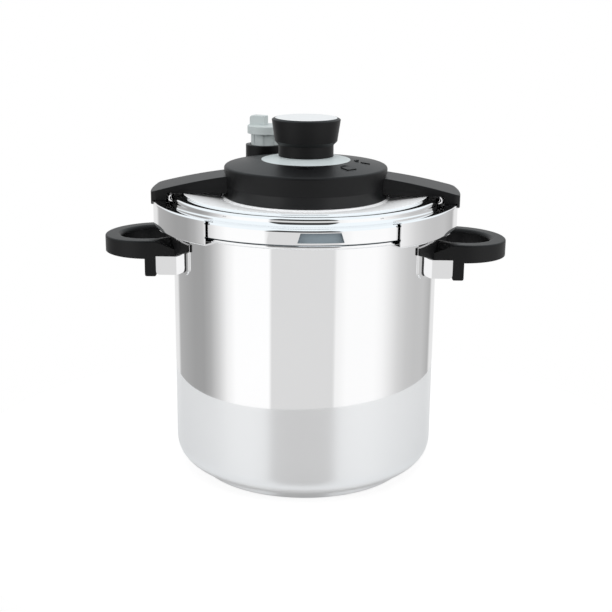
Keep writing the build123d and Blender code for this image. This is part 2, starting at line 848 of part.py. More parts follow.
# Dial ring: a cone seated in the top of the cover
with BuildPart() as dial_ring:
    with BuildSketch(Plane.XZ):
        with BuildLine():
            Polyline(
                (hub_hole, ring_seat),
                (ring_radius, ring_seat),
                (ring_radius, dome_top + fit_gap),
                (ring_top_radius, ring_top),
                (hub_hole, ring_top),
                close=True,
            )
        make_face()
    revolve(axis=Axis.Z)
finish(dial_ring, "dial_ring")

# Guide plate: the slides run between its two rails
with BuildPart() as guide_plate:
    with BuildSketch(Plane.XY.offset(pan_floor_top)):
        Rectangle(2 * guide_end, 2 * guide_half_width)
        Circle(post_radius + fit_gap, mode=Mode.SUBTRACT)
    extrude(amount=guide_top - pan_floor_top)
    rail_width = guide_half_width - slide_half_width - slide_clearance
    with BuildSketch(Plane.XY.offset(guide_top)):
        for side in (-1, 1):
            with Locations((0, side * (guide_half_width - rail_width / 2))):
                Rectangle(2 * guide_end, rail_width)
    extrude(amount=slide_top - guide_top)
finish(guide_plate, "guide_plate")

with BuildPart() as guide_nut:
    with BuildSketch(Plane.XY.offset(guide_top)):
        RegularPolygon(nut_flats / 2, 6, major_radius=False)
        Circle(post_radius + fit_gap, mode=Mode.SUBTRACT)
    extrude(amount=nut_top - guide_top)
finish(guide_nut, "guide_nut")

# Cam plate: two spiral slots push the pins outwards in step with the knob's turn
spiral_steps = 12


def spiral(start_angle):
    """Points of a spiral whose radius grows evenly as the cam turns from closed to open."""
    steps = [step / spiral_steps for step in range(spiral_steps + 1)]
    turns = [radians(start_angle - cam_turn * step) for step in steps]
    reaches = [pin_start + jaw_travel * step for step in steps]
    return [(reach * cos(turn), reach * sin(turn)) for reach, turn in zip(reaches, turns)]


slot_radius = pin_radius + pin_play
with BuildPart() as cam_plate:
    with BuildSketch(Plane.XY.offset(cam_bottom)):
        Circle(cam_radius)
        Rectangle(tenon_side + 2 * tenon_fit, tenon_side + 2 * tenon_fit, mode=Mode.SUBTRACT)
        for start_angle in (0, 180):
            slot_points = spiral(start_angle)
            with BuildLine(mode=Mode.PRIVATE) as slot_line:
                Spline(*slot_points)
            trace(slot_line.line, 2 * slot_radius, mode=Mode.SUBTRACT)
            with Locations(slot_points[0], slot_points[-1]):
                Circle(slot_radius, mode=Mode.SUBTRACT)
    extrude(amount=cam_sheet)
finish(cam_plate, "cam_plate")

# Knob: a hub with a square tenon in the cam, a neck and a flared head with a well for its screw
cap_radius = head_top_radius - head_bevel_width - cap_inset
cap_bottom = knob_top + cap_rise - cap_thickness
with BuildPart() as knob:
    with BuildSketch(Plane.XZ):
        with BuildLine():
            Polyline(
                (0, cam_top),
                (hub_radius, cam_top),
                (hub_radius, knob_bottom),
                (neck_radius, knob_bottom),
                (neck_radius, head_bottom),
                (head_bottom_radius, head_bottom + neck_groove),
                (head_top_radius, head_top),
                (head_top_radius - head_bevel_width, knob_top),
                (0, knob_top),
                close=True,
            )
        make_face()
    revolve(axis=Axis.Z)
    head_edge = knob.edges().filter_by(GeomType.CIRCLE).filter_by_position(Axis.Z, head_top, head_top)
    fillet(head_edge, radius=head_round)
    with BuildSketch(Plane.XY.offset(cam_bottom)):
        Rectangle(tenon_side, tenon_side)
    extrude(amount=cam_sheet)
    with BuildSketch(Plane.XY.offset(cam_bottom)):
        Circle(post_radius + fit_gap)
    extrude(amount=knob_top - cam_bottom, mode=Mode.SUBTRACT)
    with BuildSketch(Plane.XY.offset(post_top - knob_gap)):
        Circle(knob_well_radius)
    extrude(amount=knob_top - post_top + knob_gap, mode=Mode.SUBTRACT)
    with BuildSketch(Plane.XY.offset(cap_bottom)):
        Circle(cap_radius + fit_gap)
    extrude(amount=cap_thickness, mode=Mode.SUBTRACT)
finish(knob, "knob")

with BuildPart() as knob_cap:
    with BuildSketch(Plane.XZ):
        with BuildLine():
            Polyline(
                (0, cap_bottom),
                (knob_well_radius - 2 * cap_spigot, cap_bottom),
                (knob_well_radius - 2 * cap_spigot, cap_bottom - cap_spigot),
                (knob_well_radius - fit_gap, cap_bottom - cap_spigot),
                (knob_well_radius - fit_gap, cap_bottom),
                (cap_radius, cap_bottom),
                (cap_radius, cap_bottom + cap_thickness),
                (0, cap_bottom + cap_thickness),
                close=True,
            )
        make_face()
    revolve(axis=Axis.Z)
    fillet(knob_cap.edges().group_by(Axis.Z)[-1], radius=cap_round)
finish(knob_cap, "knob_cap")

with BuildPart() as knob_washer:
    with BuildSketch(Plane.XY.offset(post_top)):
        Circle(washer_radius)
        Circle(knob_screw_radius + fit_gap, mode=Mode.SUBTRACT)
    extrude(amount=washer_thickness)
finish(knob_washer, "knob_washer")

with BuildPart() as knob_screw:
    with BuildSketch(Plane.XY.offset(post_top + washer_thickness)):
        Circle(knob_screw_head)
    extrude(amount=knob_screw_head_height)
    with BuildSketch(Plane.XY.offset(post_top + washer_thickness)):
        Circle(knob_screw_radius)
    extrude(amount=-knob_screw_depth)
finish(knob_screw, "knob_screw")

# Jaw: a C section swept round the rim, with its upper lip sloping in over the lid's ledge
jaw_line = [
    (jaw_radius - jaw_top_reach, jaw_lip_top),
    (jaw_radius, jaw_top),
    (jaw_radius, jaw_bottom),
    (jaw_lip_radius, jaw_bottom),
]
rivet_spots = [(rivet_x, -rivet_spread), (rivet_x, rivet_spread)]
with BuildPart() as right_jaw:
    jaw_section = sheet_section(
        jaw_line, [jaw_bend, jaw_bend], jaw_sheet, Side.RIGHT, upright_plane(-jaw_half_angle)
    )
    revolve(jaw_section, axis=Axis.Z, revolution_arc=2 * jaw_half_angle)
    end_edges = right_jaw.edges().filter_by(Axis.Z)
    outer_ends = end_edges.filter_by(
        lambda edge: hypot(edge.center().X, edge.center().Y) > jaw_inside + fit_gap
    )
    fillet(outer_ends, radius=jaw_end_round)
    with BuildSketch(Plane.XY.offset(ledge_top)):
        with Locations(*rivet_spots):
            Circle(rivet_radius + fit_gap)
    extrude(amount=jaw_top - ledge_top, mode=Mode.SUBTRACT)
finish_pair(right_jaw, "jaw")

# Slide: a flat bar whose outer end steps down behind the lid's shoulder to a foot on the jaw's lip
slide_line = [
    (slide_inner_end, slide_top),
    (slide_leg, slide_top),
    (slide_leg, foot_height(slide_leg)),
    (slide_end, foot_height(slide_end)),
]
screw_start = housing_radius + cover_screw_head
screw_row = [(screw_start, 0), (screw_start + cover_screw_pitch, 0)]
with BuildPart() as right_slide:
    slide_section = sheet_section(slide_line, [slide_bend, slide_foot_bend], slide_sheet, Side.RIGHT)
    extrude(slide_section, amount=slide_half_width, both=True)
    with BuildSketch(Plane.XY.offset(slide_bottom)):
        with Locations((pin_start, 0)):
            Circle(pin_radius + fit_gap)
        with Locations(*screw_row):
            Circle(cover_screw_radius + fit_gap)
    extrude(amount=slide_sheet, mode=Mode.SUBTRACT)
    with BuildSketch(Plane.XY.offset(slide_bottom)):
        with Locations(*screw_row):
            Circle(cover_screw_head + fit_gap)
    extrude(amount=slide_sheet / 2, mode=Mode.SUBTRACT)
    with BuildSketch(Plane.XY.offset(ledge_top)):
        with Locations(*rivet_spots):
            Circle(rivet_radius + fit_gap)
    extrude(amount=slide_bottom - ledge_top, mode=Mode.SUBTRACT)
finish_pair(right_slide, "slide")

with BuildPart() as right_follower_pin:
    with BuildSketch(Plane.XY.offset(slide_bottom)):
        with Locations((pin_start, 0)):
            Circle(pin_radius)
    extrude(amount=cam_top - slide_bottom)
finish_pair(right_follower_pin, "follower_pin")

rivet_bottom = lip_height(rivet_x) - jaw_sheet / 2
with BuildPart() as right_jaw_rivets:
    with BuildSketch(Plane.XY.offset(rivet_bottom)):
        with Locations(*rivet_spots):
            Circle(rivet_radius)
    extrude(amount=foot_height(rivet_x) - foot_gap - rivet_bottom)
finish_pair(right_jaw_rivets, "jaw_rivets")

with BuildPart() as right_cover_screws:
    with BuildSketch(Plane.XY.offset(slide_bottom)):
        with Locations(*screw_row):
            Circle(cover_screw_head)
    extrude(amount=slide_sheet / 2)
    with BuildSketch(Plane.XY.offset(slide_bottom)):
        with Locations(*screw_row):
            Circle(cover_screw_radius)
    extrude(amount=cover_screw_length)
finish_pair(right_cover_screws, "cover_screws")

# Arm cover: a tapering beam with a leg that wraps the jaw's upper edge, over a core round the slide
leg_inside = shoulder_radius + arm_leg_gap
arch_top = crest_top + arch_rise
arm_side_bottom = crest_top + arm_side_rise
arm_bottom = jaw_top - arm_skin_drop
arm_middle = (arm_inner + arm_end) / 2
arm_spread = (arm_end_half_width - arm_half_width) / (arm_end - housing_radius)
inner_half_width = arm_half_width - arm_spread * arm_inner_inset
corner_x = sqrt(arm_end**2 - arm_end_half_width**2)
core_start = inner_half_width - arm_core_inset
core_end = inner_half_width + arm_spread * (leg_inside - arm_inner) - arm_core_inset
core_bottom = slide_bottom - fit_gap
keel_start = housing_radius + keel_gap
keel_end = sqrt(crest_start**2 - core_start**2) - jaw_travel
keel_low_reach = hypot(keel_start + jaw_travel, core_start)
keel_bottom = bowl_bottom + (keel_low_reach - bowl_start) * bowl_slope + keel_clearance

with BuildPart() as arm_core:
    with BuildSketch(Plane.XY.offset(core_bottom)):
        with BuildLine():
            Polyline(
                (arm_inner, -core_start),
                (leg_inside, -core_end),
                (leg_inside, core_end),
                (arm_inner, core_start),
                close=True,
            )
        make_face()
    extrude(amount=arm_side_bottom - core_bottom)
    with BuildSketch(Plane.XZ):
        with BuildLine():
            Polyline(
                (arm_inner, core_bottom),
                (leg_inside, core_bottom),
                (leg_inside, arch_top + arch_radius / 2),
                (arm_inner, arm_side_bottom),
                close=True,
            )
        make_face()
    extrude(amount=arm_end_half_width, both=True, mode=Mode.INTERSECT)
    with BuildSketch(Plane.XZ):
        with BuildLine():
            Polyline(
                (keel_start, core_bottom + fit_gap),
                (keel_start, keel_bottom),
                (keel_end, core_bottom + fit_gap),
                close=True,
            )
        make_face()
    extrude(amount=core_start, both=True)

with BuildPart() as right_arm_cover:
    with BuildSketch(Plane.XY.offset(arm_bottom)):
        with BuildLine():
            Line((arm_inner, -inner_half_width), (corner_x, -arm_end_half_width))
            ThreePointArc((corner_x, -arm_end_half_width), (arm_end, 0), (corner_x, arm_end_half_width))
            Polyline(
                (corner_x, arm_end_half_width),
                (arm_inner, inner_half_width),
                (arm_inner, -inner_half_width),
            )
        make_face()
    extrude(amount=crest_top + arm_rise_inner - arm_bottom)
    fillet(right_arm_cover.edges().filter_by(Axis.Z).group_by(Axis.X)[-1], radius=arm_corner)
    with BuildSketch(Plane.XZ):
        with BuildLine():
            ThreePointArc(
                (arm_inner, crest_top + arm_rise_inner),
                (arm_middle, crest_top + arm_rise_middle),
                (arm_end, crest_top + arm_rise_end),
            )
            Line((arm_end, crest_top + arm_rise_end), (arm_end, arm_bottom))
            FilletPolyline(
                (arm_end, arm_bottom),
                (leg_inside, arm_bottom),
                (leg_inside, arch_top),
                (arm_inner, arm_side_bottom),
                radius=[0, arch_radius],
            )
            Line((arm_inner, arm_side_bottom), (arm_inner, crest_top + arm_rise_inner))
        make_face()
    extrude(amount=arm_end_half_width, both=True, mode=Mode.INTERSECT)
    top_face = right_arm_cover.faces().filter_by(GeomType.CYLINDER).sort_by(SortBy.AREA)[-1]
    top_edges = top_face.edges().filter_by(lambda edge: edge.center().X > arm_inner + fit_gap)
    fillet(top_edges, radius=arm_edge_round)
    add(arm_core.part)
    with BuildSketch(Plane.XZ):
        with BuildLine():
            Polyline(
                (shoulder_radius, jaw_bottom),
                (jaw_radius + jaw_relief, jaw_bottom),
                (jaw_radius + jaw_relief, jaw_top + jaw_relief),
                (jaw_radius - jaw_top_reach, jaw_lip_top + jaw_relief),
                (shoulder_radius, jaw_lip_top + jaw_relief),
                close=True,
            )
        make_face()
    revolve(axis=Axis.Z, mode=Mode.SUBTRACT)
    with BuildSketch(Plane.XZ):
        with BuildLine():
            Polyline(
                (0, dish_top),
                (0, slide_top + fit_gap),
                (slide_leg + cover_relief, slide_top + fit_gap),
                (slide_leg + cover_relief, foot_height(slide_leg) + cover_relief),
                (slide_end + 2 * cover_relief, foot_height(slide_end) + cover_relief),
                (slide_end + 2 * cover_relief, jaw_bottom),
                (shoulder_radius, jaw_bottom),
                (shoulder_radius, dish_top),
                close=True,
            )
        make_face()
    extrude(amount=slide_half_width + fit_gap, both=True, mode=Mode.SUBTRACT)
    with BuildSketch(Plane.XY.offset(slide_top)):
        with Locations(*screw_row):
            Circle(cover_screw_radius + fit_gap)
    extrude(amount=cover_screw_length, mode=Mode.SUBTRACT)
finish_pair(right_arm_cover, "arm_cover")

# Steam valve: a stem through the lid, a collar clamped by a nut, and a selector over a sprung poppet
valve_hole = stem_radius + fit_gap
with BuildPart() as valve_stem:
    with BuildSketch(Plane.XY.offset(pad_bottom - stem_flange)):
        with Locations(valve_spot):
            Circle(stem_flange_radius)
    extrude(amount=stem_flange)
    with BuildSketch(Plane.XY.offset(pad_bottom)):
        with Locations(valve_spot):
            Circle(stem_radius)
    extrude(amount=stem_top - pad_bottom)
    with BuildSketch(Plane.XY.offset(pad_bottom - stem_flange)):
        with Locations(valve_spot):
            Circle(stem_bore)
    extrude(amount=stem_top - pad_bottom + stem_flange, mode=Mode.SUBTRACT)
finish(valve_stem, "valve_stem")

with BuildPart() as valve_collar:
    with BuildSketch(Plane.XY.offset(pad_top)):
        with Locations(valve_spot):
            Circle(collar_foot_radius)
    extrude(amount=collar_foot_height)
    with BuildSketch(Plane.XY.offset(pad_top + collar_foot_height)):
        with Locations(valve_spot):
            Circle(collar_radius)
    extrude(amount=collar_top - pad_top - collar_foot_height)
    with BuildSketch(Plane.XY.offset(collar_floor_top)):
        with Locations(valve_spot):
            Circle(collar_radius - collar_wall)
    extrude(amount=collar_top - collar_floor_top, mode=Mode.SUBTRACT)
    with BuildSketch(Plane.XY.offset(pad_top)):
        with Locations(valve_spot):
            Circle(valve_hole)
    extrude(amount=collar_floor_top - pad_top, mode=Mode.SUBTRACT)
finish(valve_collar, "valve_collar")

with BuildPart() as valve_nut:
    with BuildSketch(Plane.XY.offset(collar_floor_top)):
        with Locations(valve_spot):
            RegularPolygon(valve_nut_flats / 2, 6, major_radius=False)
            Circle(valve_hole, mode=Mode.SUBTRACT)
    extrude(amount=valve_nut_height)
finish(valve_nut, "valve_nut")

fin_plane = Plane(origin=(valve_x, valve_y, selector_flange_top), z_dir=(0, 0, 1)).rotated((0, 0, fin_turn))
with BuildPart() as valve_selector:
    with BuildSketch(Plane.XY.offset(barrel_bottom)):
        with Locations(valve_spot):
            Circle(barrel_radius)
    extrude(amount=selector_flange_bottom - barrel_bottom)
    with BuildSketch(Plane.XY.offset(collar_top)):
        with Locations(valve_spot):
            with PolarLocations(barrel_radius, selector_groove_count):
                Rectangle(2 * selector_groove_depth, selector_groove)
    extrude(amount=selector_exposed, mode=Mode.SUBTRACT)
    with BuildSketch(Plane.XY.offset(selector_flange_bottom)):
        with Locations(valve_spot):
            Circle(selector_flange_radius)
    extrude(amount=selector_flange)
    fillet(valve_selector.edges().group_by(Axis.Z)[-1], radius=selector_flange_round)
    with BuildSketch(fin_plane):
        with Locations((-fin_offset, 0)):
            Rectangle(fin_length, fin_width)
    extrude(amount=fin_height)
    fin_edges = valve_selector.edges().group_by(Axis.Z)[-1]
    fillet(fin_edges.sort_by(Axis.X)[0], radius=fin_end_round)
    fillet(valve_selector.edges().group_by(Axis.Z)[-1], radius=fin_round)
    with BuildSketch(Plane.XY.offset(barrel_bottom)):
        with Locations(valve_spot):
            Circle(valve_hole)
    extrude(amount=stem_top - barrel_bottom, mode=Mode.SUBTRACT)
    with BuildSketch(Plane.XY.offset(stem_top)):
        with Locations(valve_spot):
            Circle(chamber_radius)
    extrude(amount=chamber_top - stem_top, mode=Mode.SUBTRACT)
finish(valve_selector, "valve_selector")

with BuildPart() as valve_poppet:
    with BuildSketch(Plane.XY.offset(poppet_bottom)):
        with Locations(valve_spot):
            Circle(poppet_radius)
    extrude(amount=poppet_thickness)
    with BuildSketch(Plane.XY.offset(poppet_bottom)):
        with Locations(valve_spot):
            Circle(needle_radius)
    extrude(amount=-needle_length)
finish(valve_poppet, "valve_poppet")

valve_spring = spring_between(poppet_top, chamber_top, poppet_radius - spring_wire, valve_spot)
finish(valve_spring, "valve_spring")

# Pressure indicator: a pin in a soft seal that rises out of its well
with BuildPart() as indicator_seal:
    with BuildSketch(Plane.XY.offset(dish_top)):
        with Locations(indicator_spot):
            Circle(seal_radius)
    extrude(amount=seal_lip)
    with BuildSketch(Plane.XY.offset(dish_bottom)):
        with Locations(indicator_spot):
            Circle(seal_radius)
    extrude(amount=-seal_lip)
    with BuildSketch(Plane.XY.offset(dish_bottom)):
        with Locations(indicator_spot):
            Circle(seal_neck_radius)
    extrude(amount=lid_sheet)
    with BuildSketch(Plane.XY.offset(seal_bottom)):
        with Locations(indicator_spot):
            Circle(indicator_stem_radius + fit_gap)
    extrude(amount=seal_top - seal_bottom, mode=Mode.SUBTRACT)
finish(indicator_seal, "indicator_seal")

with BuildPart() as indicator_pin:
    with BuildSketch(Plane.XY.offset(indicator_stop_top - indicator_stop)):
        with Locations(indicator_spot):
            Circle(indicator_stop_radius)
    extrude(amount=indicator_stop)
    with BuildSketch(Plane.XY.offset(indicator_stop_top)):
        with Locations(indicator_spot):
            Circle(indicator_stem_radius)
    extrude(amount=indicator_bottom - indicator_stop_top)
    with BuildSketch(Plane.XY.offset(indicator_bottom)):
        with Locations(indicator_spot):
            Circle(indicator_radius)
    extrude(amount=indicator_top - indicator_bottom)
    fillet(indicator_pin.edges().group_by(Axis.Z)[-1], radius=indicator_round)
finish(indicator_pin, "indicator_pin")

# Safety valve: a ball held on its seat by a spring under a screwed cap
with BuildPart() as safety_body:
    with BuildSketch(Plane.XY.offset(dish_bottom - stem_flange)):
        with Locations(safety_spot):
            Circle(safety_flange_radius)
    extrude(amount=stem_flange)
    with BuildSketch(Plane.XY.offset(dish_bottom)):
        with Locations(safety_spot):
            Circle(safety_stem_radius)
    extrude(amount=safety_body_top - dish_bottom)
    with BuildSketch(Plane.XY.offset(safety_seat)):
        with Locations(safety_spot):
            Circle(safety_bore)
    extrude(amount=safety_body_top - safety_seat, mode=Mode.SUBTRACT)
    with BuildSketch(Plane.XY.offset(dish_bottom - stem_flange)):
        with Locations(safety_spot):
            Circle(safety_seat_radius)
    extrude(amount=safety_seat - dish_bottom + stem_flange, mode=Mode.SUBTRACT)
finish(safety_body, "safety_body")

with BuildPart() as safety_nut:
    with BuildSketch(Plane.XY.offset(dish_top)):
        with Locations(safety_spot):
            RegularPolygon(safety_nut_flats / 2, 6, major_radius=False)
            Circle(safety_stem_radius + fit_gap, mode=Mode.SUBTRACT)
    extrude(amount=safety_nut_height)
finish(safety_nut, "safety_nut")

with BuildPart() as safety_ball:
    with Locations((*safety_spot, ball_centre)):
        Sphere(safety_ball_radius)
finish(safety_ball, "safety_ball")

with BuildPart() as safety_cap_piece:
    with BuildSketch(Plane.XY.offset(safety_body_top - safety_cap)):
        with Locations(safety_spot):
            Circle(safety_radius)
            Circle(safety_stem_radius + fit_gap, mode=Mode.SUBTRACT)
    extrude(amount=safety_cap)
    with BuildSketch(Plane.XY.offset(safety_body_top)):
        with Locations(safety_spot):
            Circle(safety_radius)
            Circle(safety_seat_radius, mode=Mode.SUBTRACT)
    extrude(amount=safety_cap)
finish(safety_cap_piece, "safety_cap")

spring_radius = safety_ball_radius - spring_wire
spring_seat = ball_centre + sqrt(safety_ball_radius**2 - (spring_radius - spring_wire / 2) ** 2)
safety_spring = spring_between(spring_seat, safety_body_top, spring_radius, safety_spot)
finish(safety_spring, "safety_spring")
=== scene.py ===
"""Dresses the frame of a stovetop pressure cooker in polished steel and moulded plastic, and lights it."""

from __future__ import annotations

import logging
import math
from dataclasses import dataclass
from enum import Enum

import bmesh
import bpy
from mathutils import Matrix, Vector

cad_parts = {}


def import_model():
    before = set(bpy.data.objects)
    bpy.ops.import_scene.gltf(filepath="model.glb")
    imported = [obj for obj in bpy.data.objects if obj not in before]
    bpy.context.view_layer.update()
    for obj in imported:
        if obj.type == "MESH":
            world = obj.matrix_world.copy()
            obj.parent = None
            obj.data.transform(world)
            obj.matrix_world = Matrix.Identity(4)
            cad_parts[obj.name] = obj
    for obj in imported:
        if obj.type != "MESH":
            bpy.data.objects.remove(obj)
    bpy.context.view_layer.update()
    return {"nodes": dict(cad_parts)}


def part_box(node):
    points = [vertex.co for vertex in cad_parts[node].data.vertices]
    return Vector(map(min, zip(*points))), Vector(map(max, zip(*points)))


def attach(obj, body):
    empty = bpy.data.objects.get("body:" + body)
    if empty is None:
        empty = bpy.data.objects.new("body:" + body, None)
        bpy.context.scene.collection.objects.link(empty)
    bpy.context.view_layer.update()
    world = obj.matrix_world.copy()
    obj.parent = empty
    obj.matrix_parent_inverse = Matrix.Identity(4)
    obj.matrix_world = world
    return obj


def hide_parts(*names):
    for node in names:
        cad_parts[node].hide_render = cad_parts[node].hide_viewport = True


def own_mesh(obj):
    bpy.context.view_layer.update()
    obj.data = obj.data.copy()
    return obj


LOG = logging.getLogger("pressure_cooker")
MM = 0.001
FULL_TURN = 2 * math.pi
SMOOTH_ANGLE = math.radians(32)
MERGE_DISTANCE = 1e-6
ROUND_STEPS = 224
LEAST_STRETCH = 0.2
BUMP_DISTANCE = 0.0002
FINE_DETAIL = 3.0
SLOW_DETAIL = 4.0
NOISE_MIDDLE = 0.5

Point = tuple[float, float]
Corner = tuple[float, float, float]
Colour = tuple[float, float, float]


class Body(str, Enum):
    """Bodies of the frame that pieces ride on."""

    POT = "pot"
    LID = "lid"
    KNOB = "knob_group"
    RIGHT_ARM = "right_arm"
    LEFT_ARM = "left_arm"
    SELECTOR = "selector"
    INDICATOR = "indicator"


class Slot(str, Enum):
    """Material slots of the record."""

    STEEL = "polished_steel"
    INNER = "plain_steel"
    BLACK = "black_plastic"
    GREY = "grey_plastic"
    PALE = "pale_plastic"
    SEAL = "grey_rubber"


def rounded(corners: list[Corner], steps: int = 8) -> list[Point]:
    """Path through corners, with each bend drawn as an arc.

    Args:
        corners: radius, height and bend radius of each corner, in millimetres.
        steps: straight runs in each arc.

    Returns:
        The path's points, in millimetres.
    """
    path: list[Point] = []
    last = len(corners) - 1
    for index, (x, y, bend) in enumerate(corners):
        here = Vector((x, y))
        if bend <= 0 or index in (0, last):
            path.append((x, y))
            continue
        back = (Vector(corners[index - 1][:2]) - here).normalized()
        ahead = (Vector(corners[index + 1][:2]) - here).normalized()
        half = back.angle(ahead) / 2
        middle = here + (back + ahead).normalized() * (bend / math.sin(half))
        first = here + back * (bend / math.tan(half)) - middle
        final = here + ahead * (bend / math.tan(half)) - middle
        sweep = first.angle_signed(final)
        for step in range(steps + 1):
            spoke = first.copy()
            spoke.rotate(Matrix.Rotation(-sweep * step / steps, 2))
            path.append((middle.x + spoke.x, middle.y + spoke.y))
    return path


def beside(path: list[Point], distance: float) -> list[Point]:
    """Path that runs beside another at a distance, to its left.

    Args:
        path: points of the first path, in millimetres.
        distance: how far to the left it runs; a negative one is to the right.

    Returns:
        The new path's points, in millimetres.
    """
    shifted: list[Point] = []
    for index, point in enumerate(path):
        before = Vector(path[max(index - 1, 0)])
        after = Vector(path[min(index + 1, len(path) - 1)])
        here = Vector(point)
        runs = [run.normalized() for run in (here - before, after - here) if run.length > MERGE_DISTANCE]
        sides = [Vector((-run.y, run.x)) for run in runs]
        side = sum(sides, Vector((0.0, 0.0))).normalized()
        stretch = distance / max(side.dot(sides[0]), LEAST_STRETCH)
        shifted.append((here.x + side.x * stretch, here.y + side.y * stretch))
    return shifted


def sheet(path: list[Point], thickness: float) -> list[Point]:
    """Closed section of a sheet: the path, and back along its other face.

    Args:
        path: one face of the sheet, in millimetres.
        thickness: the sheet's thickness to the left of the path; negative is to the right.

    Returns:
        Points of the closed section.
    """
    return path + beside(path, thickness)[::-1]


def revolved(path: list[Point], closed: bool, arc: float = FULL_TURN, start: float = 0.0,
             steps: int = ROUND_STEPS) -> bmesh.types.BMesh:
    """Spin a path round the upright axis.

    Args:
        path: radius and height of each point, in millimetres.
        closed: True if the path's ends join.
        arc: angle of the spin, in radians.
        start: angle of the first section from +X, in radians.
        steps: sections round the arc.

    Returns:
        A new bmesh in metres, with the ends of a part turn closed.
    """
    form = bmesh.new()
    turn = Vector((math.cos(start), math.sin(start), 0.0))
    points = [form.verts.new(turn * (x * MM) + Vector((0.0, 0.0, y * MM))) for x, y in path]
    pairs = list(zip(points, points[1:]))
    if closed:
        pairs.append((points[-1], points[0]))
    runs = [form.edges.new(pair) for pair in pairs]
    whole = abs(arc - FULL_TURN) < MERGE_DISTANCE
    bmesh.ops.spin(form, geom=points + runs, cent=(0, 0, 0), axis=(0, 0, 1), dvec=(0, 0, 0), angle=arc,
                   steps=steps, use_merge=whole, use_normal_flip=False, use_duplicate=False)
    bmesh.ops.remove_doubles(form, verts=form.verts, dist=MERGE_DISTANCE)
    if not whole:
        rims = [edge for edge in form.edges if edge.is_boundary]
        bmesh.ops.holes_fill(form, edges=rims, sides=0)
    bmesh.ops.recalc_face_normals(form, faces=form.faces)
    return form


def soften(form: bmesh.types.BMesh, edges: list[bmesh.types.BMEdge], width: float,
           segments: int = 3) -> None:
    """Round some edges of a form.

    Args:
        form: the form to change.
        edges: edges to round.
        width: width of the rounding, in millimetres.
        segments: faces across the rounding.
    """
    bmesh.ops.bevel(form, geom=edges, offset=width * MM, offset_type="OFFSET", affect="EDGES",
                    segments=segments, profile=0.5, material=-1, clamp_overlap=True)


def piece(name: str, form: bmesh.types.BMesh, finish: bpy.types.Material, body: Body, slot: Slot,
          *nodes: str) -> bpy.types.Object:
    """Make an object of a form, dress it and let it ride on a body.

    Args:
        name: the piece's name.
        form: its shape, freed here.
        finish: its material.
        body: the body it moves with.
        slot: the record's slot for its finish.
        nodes: frame nodes that it stands for.

    Returns:
        The new object.
    """
    mesh = bpy.data.meshes.new(name)
    form.to_mesh(mesh)
    form.free()
    return dress(name, mesh, finish, body, slot, *nodes)


def dress(name: str, mesh: bpy.types.Mesh, finish: bpy.types.Material, body: Body, slot: Slot,
          *nodes: str) -> bpy.types.Object:
    """Smooth a mesh, dress it and let it ride on a body.

    Args:
        name: the piece's name.
        mesh: its shape.
        finish: its material.
        body: the body it moves with.
        slot: not used.
        nodes: frame nodes that it stands for.

    Returns:
        The new object.
    """
    mesh.shade_smooth()
    mesh.set_sharp_from_angle(angle=SMOOTH_ANGLE)
    mesh.materials.clear()
    mesh.materials.append(finish)
    thing = bpy.data.objects.new(name, mesh)
    bpy.context.scene.collection.objects.link(thing)
    flat = thing.modifiers.new("flat_faces", "WEIGHTED_NORMAL")
    flat.keep_sharp = True
    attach(thing, body.value)
    if nodes:
        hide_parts(*nodes)
    LOG.info("%s: %d faces on %s", name, len(mesh.polygons), body.value)
    return thing


@dataclass
class Frame:
    """The loaded frame, and pieces made from its nodes."""

    nodes: dict[str, bpy.types.Object]

    def moulded(self, node: str, name: str, finish: bpy.types.Material, body: Body,
                slot: Slot) -> bpy.types.Object:
        """Stand in for a node with a joined and smoothed copy of its shape.

        Args:
            node: the node's name.
            name: the piece's name.
            finish: its material.
            body: the body it moves with.
            slot: the record's slot for its finish.

        Returns:
            The new object.
        """
        form = bmesh.new()
        form.from_mesh(self.nodes[node].data)
        bmesh.ops.remove_doubles(form, verts=form.verts, dist=MERGE_DISTANCE)
        mesh = bpy.data.meshes.new(name)
        form.to_mesh(mesh)
        form.free()
        for stored in ("custom_normal", "sharp_face", "sharp_edge"):
            if stored in mesh.attributes:
                mesh.attributes.remove(mesh.attributes[stored])
        return dress(name, mesh, finish, body, slot, node)

    def paint(self, finish: bpy.types.Material, *names: str) -> None:
        """Give frame nodes that keep their own shape a material."""
        for name in names:
            slots = self.nodes[name].data.materials
            slots.clear()
            slots.append(finish)


